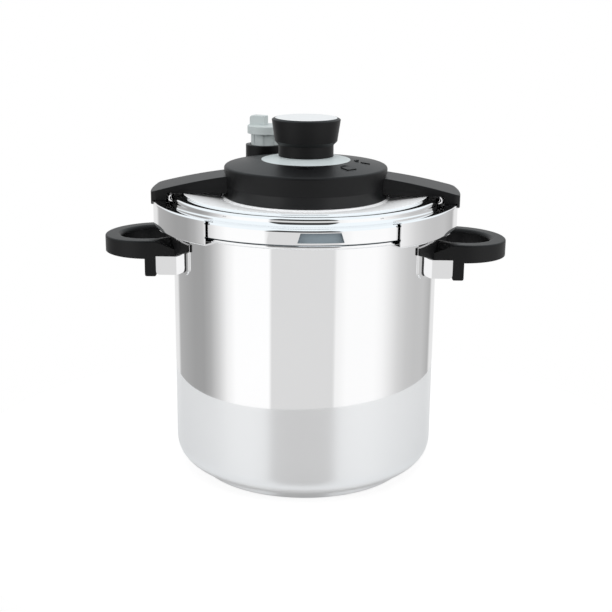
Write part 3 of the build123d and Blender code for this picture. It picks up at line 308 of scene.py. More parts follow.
class Grain:
    """Shader node groups that several finishes share."""

    _built: dict[str, bpy.types.NodeTree] = {}

    @classmethod
    def surface(cls) -> bpy.types.NodeTree:
        """Group of a moulded or polished skin: a fine grain to the touch and a slow drift in gloss.

        Returns:
            The node group.
        """
        if "surface" in cls._built:
            return cls._built["surface"]
        tree = bpy.data.node_groups.new("surface_grain", "ShaderNodeTree")
        sides = tree.interface
        for label, default in (("Grain Scale", 900.0), ("Grain Depth", 0.1), ("Gloss", 0.4),
                               ("Gloss Drift", 0.05), ("Drift Scale", 14.0)):
            socket = sides.new_socket(name=label, in_out="INPUT", socket_type="NodeSocketFloat")
            socket.default_value = default
        sides.new_socket(name="Roughness", in_out="OUTPUT", socket_type="NodeSocketFloat")
        sides.new_socket(name="Shade", in_out="OUTPUT", socket_type="NodeSocketFloat")
        sides.new_socket(name="Normal", in_out="OUTPUT", socket_type="NodeSocketVector")
        add = tree.nodes.new
        join = tree.links.new
        given = add("NodeGroupInput")
        made = add("NodeGroupOutput")
        place = add("ShaderNodeTexCoord")
        fine = add("ShaderNodeTexNoise")
        fine.inputs["Detail"].default_value = FINE_DETAIL
        join(place.outputs["Object"], fine.inputs["Vector"])
        join(given.outputs["Grain Scale"], fine.inputs["Scale"])
        bump = add("ShaderNodeBump")
        bump.inputs["Distance"].default_value = BUMP_DISTANCE
        join(given.outputs["Grain Depth"], bump.inputs["Strength"])
        join(fine.outputs["Fac"], bump.inputs["Height"])
        join(bump.outputs["Normal"], made.inputs["Normal"])
        slow = add("ShaderNodeTexNoise")
        slow.inputs["Detail"].default_value = SLOW_DETAIL
        join(place.outputs["Object"], slow.inputs["Vector"])
        join(given.outputs["Drift Scale"], slow.inputs["Scale"])
        centred = add("ShaderNodeMath")
        centred.operation = "SUBTRACT"
        centred.inputs[1].default_value = NOISE_MIDDLE
        join(slow.outputs["Fac"], centred.inputs[0])
        spread = add("ShaderNodeMath")
        spread.operation = "MULTIPLY_ADD"
        join(centred.outputs["Value"], spread.inputs[0])
        join(given.outputs["Gloss Drift"], spread.inputs[1])
        join(given.outputs["Gloss"], spread.inputs[2])
        join(spread.outputs["Value"], made.inputs["Roughness"])
        join(slow.outputs["Fac"], made.inputs["Shade"])
        cls._built["surface"] = tree
        return tree

    @classmethod
    def ring(cls) -> bpy.types.NodeTree:
        """Group that gives one value on a ring round the upright axis and another value elsewhere.

        Returns:
            The node group.
        """
        if "ring" in cls._built:
            return cls._built["ring"]
        tree = bpy.data.node_groups.new("ring_band", "ShaderNodeTree")
        for label in ("Inner", "Outer", "Inside", "Outside"):
            tree.interface.new_socket(name=label, in_out="INPUT", socket_type="NodeSocketFloat")
        tree.interface.new_socket(name="Value", in_out="OUTPUT", socket_type="NodeSocketFloat")
        add = tree.nodes.new
        join = tree.links.new
        given = add("NodeGroupInput")
        made = add("NodeGroupOutput")
        place = add("ShaderNodeTexCoord")
        flat = add("ShaderNodeVectorMath")
        flat.operation = "MULTIPLY"
        flat.inputs[1].default_value = (1.0, 1.0, 0.0)
        join(place.outputs["Object"], flat.inputs[0])
        reach = add("ShaderNodeVectorMath")
        reach.operation = "LENGTH"
        join(flat.outputs["Vector"], reach.inputs[0])
        past = add("ShaderNodeMath")
        past.operation = "GREATER_THAN"
        join(reach.outputs["Value"], past.inputs[0])
        join(given.outputs["Inner"], past.inputs[1])
        short = add("ShaderNodeMath")
        short.operation = "LESS_THAN"
        join(reach.outputs["Value"], short.inputs[0])
        join(given.outputs["Outer"], short.inputs[1])
        both = add("ShaderNodeMath")
        both.operation = "MULTIPLY"
        join(past.outputs["Value"], both.inputs[0])
        join(short.outputs["Value"], both.inputs[1])
        blend = add("ShaderNodeMix")
        join(both.outputs["Value"], blend.inputs["Factor"])
        join(given.outputs["Outside"], blend.inputs["A"])
        join(given.outputs["Inside"], blend.inputs["B"])
        join(blend.outputs["Result"], made.inputs["Value"])
        cls._built["ring"] = tree
        return tree


@dataclass(frozen=True)
class Finish:
    """A surface finish: a colour that varies a little, a grain and a gloss."""

    name: str
    colour: Colour
    shade: Colour
    metallic: float = 0.0
    gloss: float = 0.45
    gloss_drift: float = 0.08
    grain_scale: float = 900.0
    grain_depth: float = 0.08
    drift_scale: float = 14.0
    specular: float = 0.5
    coat: float = 0.0
    coat_gloss: float = 0.1
    satin_band: Point | None = None
    satin_gloss: float = 0.6
    satin_metal: float = 0.35

    def material(self) -> bpy.types.Material:
        """Build the finish as a material.

        Returns:
            The material, made once.
        """
        known = bpy.data.materials.get(self.name)
        if known:
            return known
        made = bpy.data.materials.new(self.name)
        made.use_nodes = True
        tree = made.node_tree
        shader = tree.nodes["Principled BSDF"]
        shader.inputs["Metallic"].default_value = self.metallic
        shader.inputs["Specular IOR Level"].default_value = self.specular
        shader.inputs["Coat Weight"].default_value = self.coat
        shader.inputs["Coat Roughness"].default_value = self.coat_gloss
        skin = tree.nodes.new("ShaderNodeGroup")
        skin.node_tree = Grain.surface()
        skin.inputs["Grain Scale"].default_value = self.grain_scale
        skin.inputs["Grain Depth"].default_value = self.grain_depth
        skin.inputs["Gloss"].default_value = self.gloss
        skin.inputs["Gloss Drift"].default_value = self.gloss_drift
        skin.inputs["Drift Scale"].default_value = self.drift_scale
        tone = tree.nodes.new("ShaderNodeMix")
        tone.data_type = "RGBA"
        tone.inputs["A"].default_value = (*self.colour, 1.0)
        tone.inputs["B"].default_value = (*self.shade, 1.0)
        tree.links.new(skin.outputs["Shade"], tone.inputs["Factor"])
        tree.links.new(tone.outputs["Result"], shader.inputs["Base Color"])
        tree.links.new(skin.outputs["Normal"], shader.inputs["Normal"])
        if self.satin_band is None:
            tree.links.new(skin.outputs["Roughness"], shader.inputs["Roughness"])
            return made
        for socket, satin in (("Roughness", self.satin_gloss), ("Metallic", self.satin_metal)):
            band = tree.nodes.new("ShaderNodeGroup")
            band.node_tree = Grain.ring()
            band.inputs["Inner"].default_value, band.inputs["Outer"].default_value = self.satin_band
            band.inputs["Inside"].default_value = satin
            band.inputs["Outside"].default_value = self.metallic
            if socket == "Roughness":
                tree.links.new(skin.outputs["Roughness"], band.inputs["Outside"])
            tree.links.new(band.outputs["Value"], shader.inputs[socket])
        return made


POLISHED_STEEL = Finish("polished_steel_skin", (0.93, 0.93, 0.935), (0.90, 0.90, 0.905), metallic=1.0,
                        gloss=0.035, gloss_drift=0.02, grain_scale=60.0, grain_depth=0.004, drift_scale=9.0)
LID_STEEL = Finish("lid_steel_skin", (0.93, 0.93, 0.935), (0.90, 0.90, 0.905), metallic=1.0, gloss=0.035,
                   gloss_drift=0.02, grain_scale=60.0, grain_depth=0.004, drift_scale=9.0,
                   satin_band=(0.0, 0.1036))
INSIDE_STEEL = Finish("brushed_steel_skin", (0.78, 0.78, 0.79), (0.70, 0.70, 0.71), metallic=0.85, gloss=0.3,
                      gloss_drift=0.1, grain_scale=700.0, grain_depth=0.05)
INNER_STEEL = Finish("plain_steel_skin", (0.62, 0.63, 0.64), (0.52, 0.53, 0.54), metallic=1.0, gloss=0.32,
                     gloss_drift=0.15, grain_scale=500.0, grain_depth=0.06)
# Painted shade: near-black steel for the slides and guide plate inside the housing, so that they show no
# bright reflection there.
SHADE_BLACK_STEEL = Finish("shade_black_steel_skin", (0.05, 0.05, 0.053), (0.035, 0.035, 0.038), metallic=1.0,
                    gloss=0.45, gloss_drift=0.12, grain_scale=500.0, grain_depth=0.06)
CORE_METAL = Finish("base_aluminium_skin", (0.75, 0.76, 0.77), (0.66, 0.67, 0.68), metallic=1.0, gloss=0.4)
BRASS = Finish("valve_brass_skin", (0.74, 0.57, 0.29), (0.62, 0.46, 0.22), metallic=1.0, gloss=0.25)
BLACK_PLASTIC = Finish("black_plastic_skin", (0.0035, 0.0036, 0.004), (0.0055, 0.0056, 0.006), gloss=0.42,
                       gloss_drift=0.06, grain_scale=2400.0, grain_depth=0.10, specular=0.24)
PAN_PLASTIC = Finish("pan_plastic_skin", (0.006, 0.0065, 0.007), (0.009, 0.0095, 0.010), gloss=0.28,
                     gloss_drift=0.06, grain_scale=2400.0, grain_depth=0.10, specular=0.34)
RING_PLASTIC = Finish("ring_plastic_skin", (0.60, 0.665, 0.67), (0.56, 0.62, 0.63),
                      gloss=0.4, grain_depth=0.05)
# Painted shade: the valve's grey is a darker copy of the dial ring's grey, kept darker to stand in for the
# shade on the valve's barrel.
SHADED_GREY_PLASTIC = Finish("grey_plastic_shaded_skin", (0.55, 0.60, 0.60), (0.51, 0.56, 0.56),
                      gloss=0.42, grain_depth=0.05)
PALE_PLASTIC = Finish("pale_plastic_skin", (0.73, 0.76, 0.775), (0.70, 0.73, 0.745),
                      gloss=0.3, grain_depth=0.03)
SEAL_RUBBER = Finish("grey_rubber_skin", (0.29, 0.35, 0.39), (0.25, 0.31, 0.35), gloss=0.5, grain_depth=0.1)
DARK_RUBBER = Finish("dark_rubber_skin", (0.02, 0.02, 0.02), (0.03, 0.03, 0.03), gloss=0.6, grain_depth=0.1)


@dataclass
class Pot:
    """Pot body, its capped base and the handles on their brackets. Sizes are in millimetres."""

    wall: float = 1.2
    radius: float = 112.0
    base_height: float = 5.9
    corner_bend: float = 19.0
    rim_drop: float = 3.8
    rim_curl: float = 2.5
    rim_bend: float = 1.5
    rim_edge_bend: float = 0.6
    base_skin: float = 0.6
    base_bend: float = 1.5
    base_lip: float = 0.9
    inside: float = 111.3
    bend_steps: int = 14

    def build(self, frame: Frame) -> None:
        """Make the pot's pieces."""
        steel = POLISHED_STEEL.material()
        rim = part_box("pot_body")[1][0] / MM
        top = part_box("pot_body")[1][2] / MM
        outside = rounded([
            (0.0, self.base_height, 0.0),
            (self.radius, self.base_height, self.corner_bend),
            (self.radius, top - self.wall, self.rim_bend),
            (rim - self.wall, top - self.wall, self.rim_edge_bend),
            (rim - self.wall, top - self.rim_drop + self.wall, self.rim_edge_bend),
            (rim - self.wall - self.rim_curl, top - self.rim_drop + self.wall, 0.0),
        ], steps=self.bend_steps)
        section = sheet(outside, self.wall)
        section[-1] = (0.0, self.base_height + self.wall)
        shell = piece("pot_shell", revolved(section, closed=False), steel, Body.POT, Slot.STEEL, "pot_body")
        self.line(shell.data)
        self.base(steel)
        for side in ("right", "left"):
            frame.moulded(f"{side}_handle", f"{side}_handle_loop", BLACK_PLASTIC.material(), Body.POT,
                          Slot.BLACK)
            frame.moulded(f"{side}_handle_bracket", f"{side}_handle_stub", steel, Body.POT, Slot.STEEL)

    def line(self, shell: bpy.types.Mesh) -> None:
        """Give the pot's inner face its brushed finish."""
        shell.materials.append(INSIDE_STEEL.material())
        for face in shell.polygons:
            inwards = -face.center.xy.normalized()
            if face.normal.xy.dot(inwards) + face.normal.z > 0 and face.center.xy.length < self.inside * MM:
                face.material_index = 1

    def base(self, steel: bpy.types.Material) -> None:
        """Make the cap under the base."""
        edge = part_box("base_cap")[1][0] / MM
        outside = rounded([
            (0.0, 0.0, 0.0),
            (edge, 0.0, self.base_bend),
            (edge, self.base_height, self.base_lip),
            (edge - 2 * self.base_lip, self.base_height, 0.0),
        ])
        section = sheet(outside, self.base_skin)
        section[-1] = (0.0, self.base_skin)
        piece("base_disc", revolved(section, closed=False), steel, Body.POT, Slot.STEEL, "base_cap")


@dataclass
class Lid:
    """Lid shell with its window, and the gasket behind it. Sizes are in millimetres."""

    sheet_thickness: float = 1.2
    bend_steps: int = 12
    skirt_height: float = 11.8
    ledge_width: float = 12.0
    ledge_bend: float = 2.3
    shoulder_width: float = 8.4
    shoulder_bend: float = 2.4
    shoulder_foot: float = 3.4
    bead_height: float = 1.2
    bead_width: float = 0.7
    bead_bend: float = 1.5
    bead_foot: float = 0.8
    crest_width: float = 2.0
    crest_bend: float = 5.0
    dish_radius: float = 69.9
    dish_depth: float = 3.6
    step_drop: float = 1.6
    step_width: float = 0.9
    step_bend: float = 1.5
    step_foot: float = 1.0
    pad_radius: float = 9.6
    pad_height: float = 240.15
    pad_sides: int = 64
    window_angle: float = -83.4
    window_bottom: float = 35.8
    window_top: float = 31.0
    window_sill: float = 1.5
    window_lintel: float = 2.7
    window_clear: float = 1.0
    window_spread: float = 0.95
    gasket_lip: float = 2.0
    gasket_web: float = 2.6
    gasket_gap: float = 1.0
    gasket_foot: float = 2.0
    gasket_head: float = 1.0
    gasket_bend: float = 0.8
    gasket_steps: int = 5

    def build(self) -> None:
        """Make the lid's shell and gasket."""
        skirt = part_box("lid_shell")[1][0] / MM
        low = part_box("lid_shell")[0][2] / MM
        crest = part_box("lid_shell")[1][2] / MM
        ledge = low + self.skirt_height
        shoulder = skirt - self.ledge_width
        shoulder_top = crest - self.bead_height
        bead_end = shoulder - self.shoulder_width
        crest_end = bead_end - self.bead_width
        dish = crest - self.dish_depth
        outside = rounded([
            (0.0, dish, 0.0),
            (self.dish_radius, dish, self.step_bend),
            (self.dish_radius + self.step_width, dish - self.step_drop, self.step_foot),
            (crest_end - self.crest_width, crest, self.crest_bend),
            (crest_end, crest, self.bead_bend),
            (bead_end, shoulder_top, self.bead_foot),
            (shoulder, shoulder_top, self.shoulder_bend),
            (shoulder, ledge, self.shoulder_foot),
            (skirt, ledge, self.ledge_bend),
            (skirt, low, 0.0),
        ], steps=self.bend_steps)
        section = sheet(outside, -self.sheet_thickness)
        section[-1] = (0.0, dish - self.sheet_thickness)
        shell = revolved(section, closed=False)
        self.cut_window(shell, low, ledge)
        self.pad(shell, dish)
        piece("lid_dish", shell, LID_STEEL.material(), Body.LID, Slot.STEEL, "lid_shell")
        self.seal()

    def pad(self, shell: bmesh.types.BMesh, dish: float) -> None:
        """Raise the flat pad that the steam valve stands on.

        Args:
            shell: the lid's form.
            dish: height of the lid's flat middle, in millimetres.
        """
        near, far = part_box("valve_collar")
        height = self.pad_height - dish + self.step_drop + self.sheet_thickness
        spot = Vector(((near[0] + far[0]) / 2, (near[1] + far[1]) / 2, (self.pad_height - height / 2) * MM))
        bmesh.ops.create_cone(shell, cap_ends=True, segments=self.pad_sides, radius1=self.pad_radius * MM,
                              radius2=self.pad_radius * MM, depth=height * MM,
                              matrix=Matrix.Translation(spot))

    def cut_window(self, shell: bmesh.types.BMesh, low: float, ledge: float) -> None:
        """Cut the tapering window through both walls of the skirt.

        Args:
            shell: the lid's form.
            low: height of the skirt's lower edge, in millimetres.
            ledge: height of the ledge, in millimetres.
        """
        facing = math.radians(self.window_angle)
        out = Vector((math.cos(facing), math.sin(facing), 0.0))
        along = Vector((-out.y, out.x, 0.0))
        sill = (low + self.window_sill) * MM
        head = (ledge - self.window_lintel) * MM
        rise = head - sill
        lean = (self.window_bottom - self.window_top) / 2 * MM
        planes = [(Vector((0, 0, sill)), Vector((0, 0, -1))), (Vector((0, 0, head)), Vector((0, 0, 1)))]
        for side in (-1, 1):
            foot = along * (side * self.window_bottom / 2 * MM) + Vector((0, 0, sill))
            planes.append((foot, (along * side * rise + Vector((0, 0, lean))).normalized()))

        def near(face: bmesh.types.BMFace) -> bool:
            """True for a face of the skirt near the window."""
            spot = face.calc_center_median()
            below = spot.z < (ledge - self.window_clear) * MM
            return below and spot.xy.normalized().dot(out.xy) > self.window_spread

        for spot, normal in planes:
            faces = [face for face in shell.faces if near(face)]
            cut = {part for face in faces for part in (*face.verts, *face.edges)}
            bmesh.ops.bisect_plane(shell, geom=[*cut, *faces], plane_co=spot, plane_no=normal,
                                   dist=MERGE_DISTANCE)
        gone = [face for face in shell.faces if near(face) and all(
            (face.calc_center_median() - spot).dot(normal) < 0 for spot, normal in planes)]
        bmesh.ops.delete(shell, geom=gone, context="FACES")
        rims = [edge for edge in shell.edges if edge.is_boundary]
        bmesh.ops.bridge_loops(shell, edges=rims)
        bmesh.ops.recalc_face_normals(shell, faces=shell.faces)

    def seal(self) -> None:
        """Make the gasket, a ring of C section open inwards."""
        low, high = (corner / MM for corner in (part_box("gasket")[0][2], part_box("gasket")[1][2]))
        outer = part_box("gasket")[1][0] / MM - self.gasket_gap
        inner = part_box("lid_shell")[1][0] / MM - self.ledge_width + self.sheet_thickness
        web = outer - self.gasket_web
        section = rounded([
            (inner, low, 0.0),
            (outer, low, self.gasket_foot),
            (outer, high, self.gasket_head),
            (inner, high, 0.0),
            (inner, high - self.gasket_lip, 0.0),
            (web, high - self.gasket_lip, self.gasket_bend),
            (web, low + self.gasket_lip, self.gasket_bend),
            (inner, low + self.gasket_lip, 0.0),
        ], steps=self.gasket_steps)
        ring = revolved(section, closed=True)
        piece("gasket_ring", ring, SEAL_RUBBER.material(), Body.LID, Slot.SEAL, "gasket")


@dataclass
class Arms:
    """Steel jaws and the covers over their slides. Sizes are in millimetres."""

    jaw_sheet: float = 1.5
    jaw_top_reach: float = 10.5
    jaw_top: float = 235.9
    jaw_lip_rise: float = 0.4
    jaw_bend: float = 1.8
    jaw_half_angle: float = 54.0
    jaw_edge: float = 0.35
    jaw_steps: int = 96
    lower_reach: float = 12.23

    def build(self, frame: Frame) -> None:
        """Make both arms."""
        for side, body, facing in (("right", Body.RIGHT_ARM, 0.0), ("left", Body.LEFT_ARM, math.pi)):
            self.jaw(side, body, facing)
            frame.moulded(f"{side}_arm_cover", f"{side}_arm_shell", BLACK_PLASTIC.material(), body,
                          Slot.BLACK)

    def jaw(self, side: str, body: Body, facing: float) -> None:
        """Make one jaw.

        Args:
            side: right or left.
            body: the arm's body.
            facing: the jaw's direction from +X, in radians.
        """
        low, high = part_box(f"{side}_jaw")
        outside = max(abs(low[0]), abs(high[0])) / MM
        bottom = low[2] / MM
        path = rounded([
            (outside - self.jaw_top_reach, self.jaw_top - self.jaw_lip_rise, 0.0),
            (outside, self.jaw_top, self.jaw_bend),
            (outside, bottom, self.jaw_bend),
            (outside - self.lower_reach, bottom, 0.0),
        ])
        half = math.radians(self.jaw_half_angle)
        form = revolved(sheet(path, -self.jaw_sheet), closed=True, arc=2 * half, start=facing - half,
                        steps=self.jaw_steps)
        sharp = [edge for edge in form.edges if edge.calc_face_angle(0.0) > SMOOTH_ANGLE]
        soften(form, sharp, self.jaw_edge)
        piece(f"{side}_jaw_strip", form, POLISHED_STEEL.material(), body, Slot.STEEL, f"{side}_jaw")


@dataclass
class Housing:
    """Central housing with its dial ring, and the signs on its dome. Sizes are in millimetres."""

    edge_radius: float = 69.0
    edge_height: float = 263.0
    dome_radius: float = 37.5
    dome_height: float = 267.8
    sign_reach: float = 50.0
    sign_bearings: tuple[float, float] = (-44.7, -2.6)
    sign_rise: float = 0.7
    lock_width: float = 10.4
    lock_depth: float = 8.0
    lock_round: float = 0.3
    shackle_radius: float = 3.4
    shackle_wire: float = 0.85
    shackle_lift: float = 2.0
    wire_sides: int = 16
    bow_steps: int = 24

    def build(self, frame: Frame) -> None:
        """Make the housing's pieces."""
        black = BLACK_PLASTIC.material()
        frame.moulded("housing_cover", "housing_dome", black, Body.LID, Slot.BLACK)
        frame.moulded("housing_base", "housing_pan", PAN_PLASTIC.material(), Body.LID, Slot.BLACK)
        frame.moulded("dial_ring", "dial_cone", RING_PLASTIC.material(), Body.LID, Slot.GREY)
        frame.moulded("indicator_pin", "indicator_button", INNER_STEEL.material(), Body.INDICATOR,
                      Slot.INNER)
        lifts = (0.0, self.shackle_lift)
        for name, bearing, lift in zip(("shut_sign", "open_sign"), self.sign_bearings, lifts):
            form = self.padlock(lift)
            bmesh.ops.transform(form, matrix=self.on_dome(math.radians(bearing)), verts=form.verts)
            piece(name, form, black, Body.LID, Slot.BLACK)

    def on_dome(self, bearing: float) -> Matrix:
        """Place on the dome for a sign that reads from the edge.

        Args:
            bearing: direction from +X, in radians.

        Returns:
            The matrix that lays a sign there.
        """
        fall = (self.dome_height - self.edge_height) / (self.edge_radius - self.dome_radius)
        height = self.edge_height + fall * (self.edge_radius - self.sign_reach)
        tilt = Matrix.Rotation(math.atan(fall), 4, "X")
        spot = Matrix.Translation((0.0, -self.sign_reach * MM, height * MM))
        return Matrix.Rotation(bearing + math.pi / 2, 4, "Z") @ spot @ tilt

    def padlock(self, lift: float) -> bmesh.types.BMesh:
        """Raised padlock, flat on the ground, with its shackle away from the reader.

        Args:
            lift: how far the shackle is drawn out, in millimetres.

        Returns:
            The form, in metres.
        """
        form = bmesh.new()
        size = Matrix.Diagonal((self.lock_width * MM, self.lock_depth * MM, 2 * self.sign_rise * MM, 1.0))
        bmesh.ops.create_cube(form, size=1.0, matrix=size)
        soften(form, form.edges[:], self.lock_round)
        foot = (self.lock_depth / 2 - self.shackle_wire / 2 + lift) * MM
        ring = bmesh.ops.create_circle(form, segments=self.wire_sides, radius=self.shackle_wire * MM,
                                       cap_ends=False)["verts"]
        upright = Matrix.Rotation(math.pi / 2, 4, "X")
        stand = Matrix.Translation((self.shackle_radius * MM, foot, 0.0)) @ upright
        bmesh.ops.transform(form, matrix=stand, verts=ring)
        loop = ring + list({edge for vert in ring for edge in vert.link_edges})
        bmesh.ops.spin(form, geom=loop, cent=(0.0, foot, 0.0), axis=(0, 0, 1), dvec=(0, 0, 0), angle=math.pi,
                       steps=self.bow_steps, use_merge=False, use_normal_flip=False, use_duplicate=False)
        bmesh.ops.holes_fill(form, edges=[edge for edge in form.edges if edge.is_boundary], sides=0)
        bmesh.ops.recalc_face_normals(form, faces=form.faces)
        return form


@dataclass
class Knob:
    """Turning knob and its pale cap."""

    def build(self, frame: Frame) -> None:
        """Make the knob's pieces."""
        frame.moulded("knob", "knob_grip", BLACK_PLASTIC.material(), Body.KNOB, Slot.BLACK)
        frame.moulded("knob_cap", "knob_top_plate", PALE_PLASTIC.material(), Body.KNOB, Slot.PALE)


@dataclass
class SteamValve:
    """Collar and selector of the steam valve. Sizes are in millimetres."""

    mark_bearing: float = 163.8
    mark_reach: float = 14.9
    mark_radius: float = 1.1
    mark_depth: float = 0.6
    mark_rise: float = 0.12
    mark_sides: int = 32

    def build(self, frame: Frame) -> None:
        """Make the valve's pieces."""
        self.mark()
        frame.moulded("valve_collar", "valve_sleeve", BLACK_PLASTIC.material(), Body.LID, Slot.BLACK)
        # The selector gets the darker copy of the grey, as painted shade for its barrel.
        frame.moulded("valve_selector", "valve_dial", SHADED_GREY_PLASTIC.material(), Body.SELECTOR, Slot.GREY)

    def mark(self) -> None:
        """Make the pale dot on the collar's rim that the fin is set to."""
        low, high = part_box("valve_collar")
        turn = math.radians(self.mark_bearing)
        spot = Vector(((low[0] + high[0]) / 2 + math.cos(turn) * self.mark_reach * MM,
                       (low[1] + high[1]) / 2 + math.sin(turn) * self.mark_reach * MM,
                       high[2] + (self.mark_rise - self.mark_depth / 2) * MM))
        form = bmesh.new()
        bmesh.ops.create_cone(form, cap_ends=True, segments=self.mark_sides, radius1=self.mark_radius * MM,
                              radius2=self.mark_radius * MM, depth=self.mark_depth * MM,
                              matrix=Matrix.Translation(spot))
        piece("collar_mark", form, PALE_PLASTIC.material(), Body.LID, Slot.PALE)


@dataclass
class Springs:
    """Coils of the two valves. Sizes are in millimetres."""

    poppet_travel: float = 3.0
    ball_travel: float = 1.5

    def build(self, frame: Frame) -> None:
        """Make both coils."""
        self.coil(frame, "valve_spring", "valve_coil", Body.LID)
        self.coil(frame, "safety_spring", "safety_coil", Body.LID)

    def coil(self, frame: Frame, node: str, name: str, body: Body) -> None:
        """Make one coil.

        Args:
            frame: the loaded frame.
            node: the spring's node.
            name: the piece's name.
            body: the body that it rides on.
        """
        made = frame.moulded(node, name, INNER_STEEL.material(), body, Slot.INNER)
        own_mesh(made)


@dataclass(frozen=True)
class Viewpoint:
    """Camera at the photograph's viewing angle, in metres and degrees, with its sensor in millimetres."""

    place: Corner = (0.0186, -0.9809, 0.4157)
    yaw: float = -1.01
    pitch: float = 15.73
    roll: float = 0.57
    focal_pixels: float = 1169.0
    frame_pixels: float = 612.0
    sensor: float = 36.0
    near_clip: float = 0.01

    def build(self) -> None:
        """Make the camera."""
        yaw, pitch, roll = (math.radians(angle) for angle in (self.yaw, self.pitch, self.roll))
        ahead = Vector((math.sin(yaw) * math.cos(pitch), math.cos(yaw) * math.cos(pitch), -math.sin(pitch)))
        level = Vector((math.cos(yaw), -math.sin(yaw), 0.0))
        upright = level.cross(ahead)
        right = level * math.cos(roll) + upright * math.sin(roll)
        up = upright * math.cos(roll) - level * math.sin(roll)
        lens = bpy.data.cameras.new("photo_camera")
        lens.sensor_fit = "HORIZONTAL"
        lens.sensor_width = self.sensor
        lens.lens = self.sensor * self.focal_pixels / self.frame_pixels
        lens.clip_start = self.near_clip
        eye = bpy.data.objects.new("photo_camera", lens)
        turn = Matrix((right, up, -ahead)).transposed().to_4x4()
        eye.matrix_world = Matrix.Translation(self.place) @ turn
        bpy.context.scene.collection.objects.link(eye)
        bpy.context.scene.camera = eye


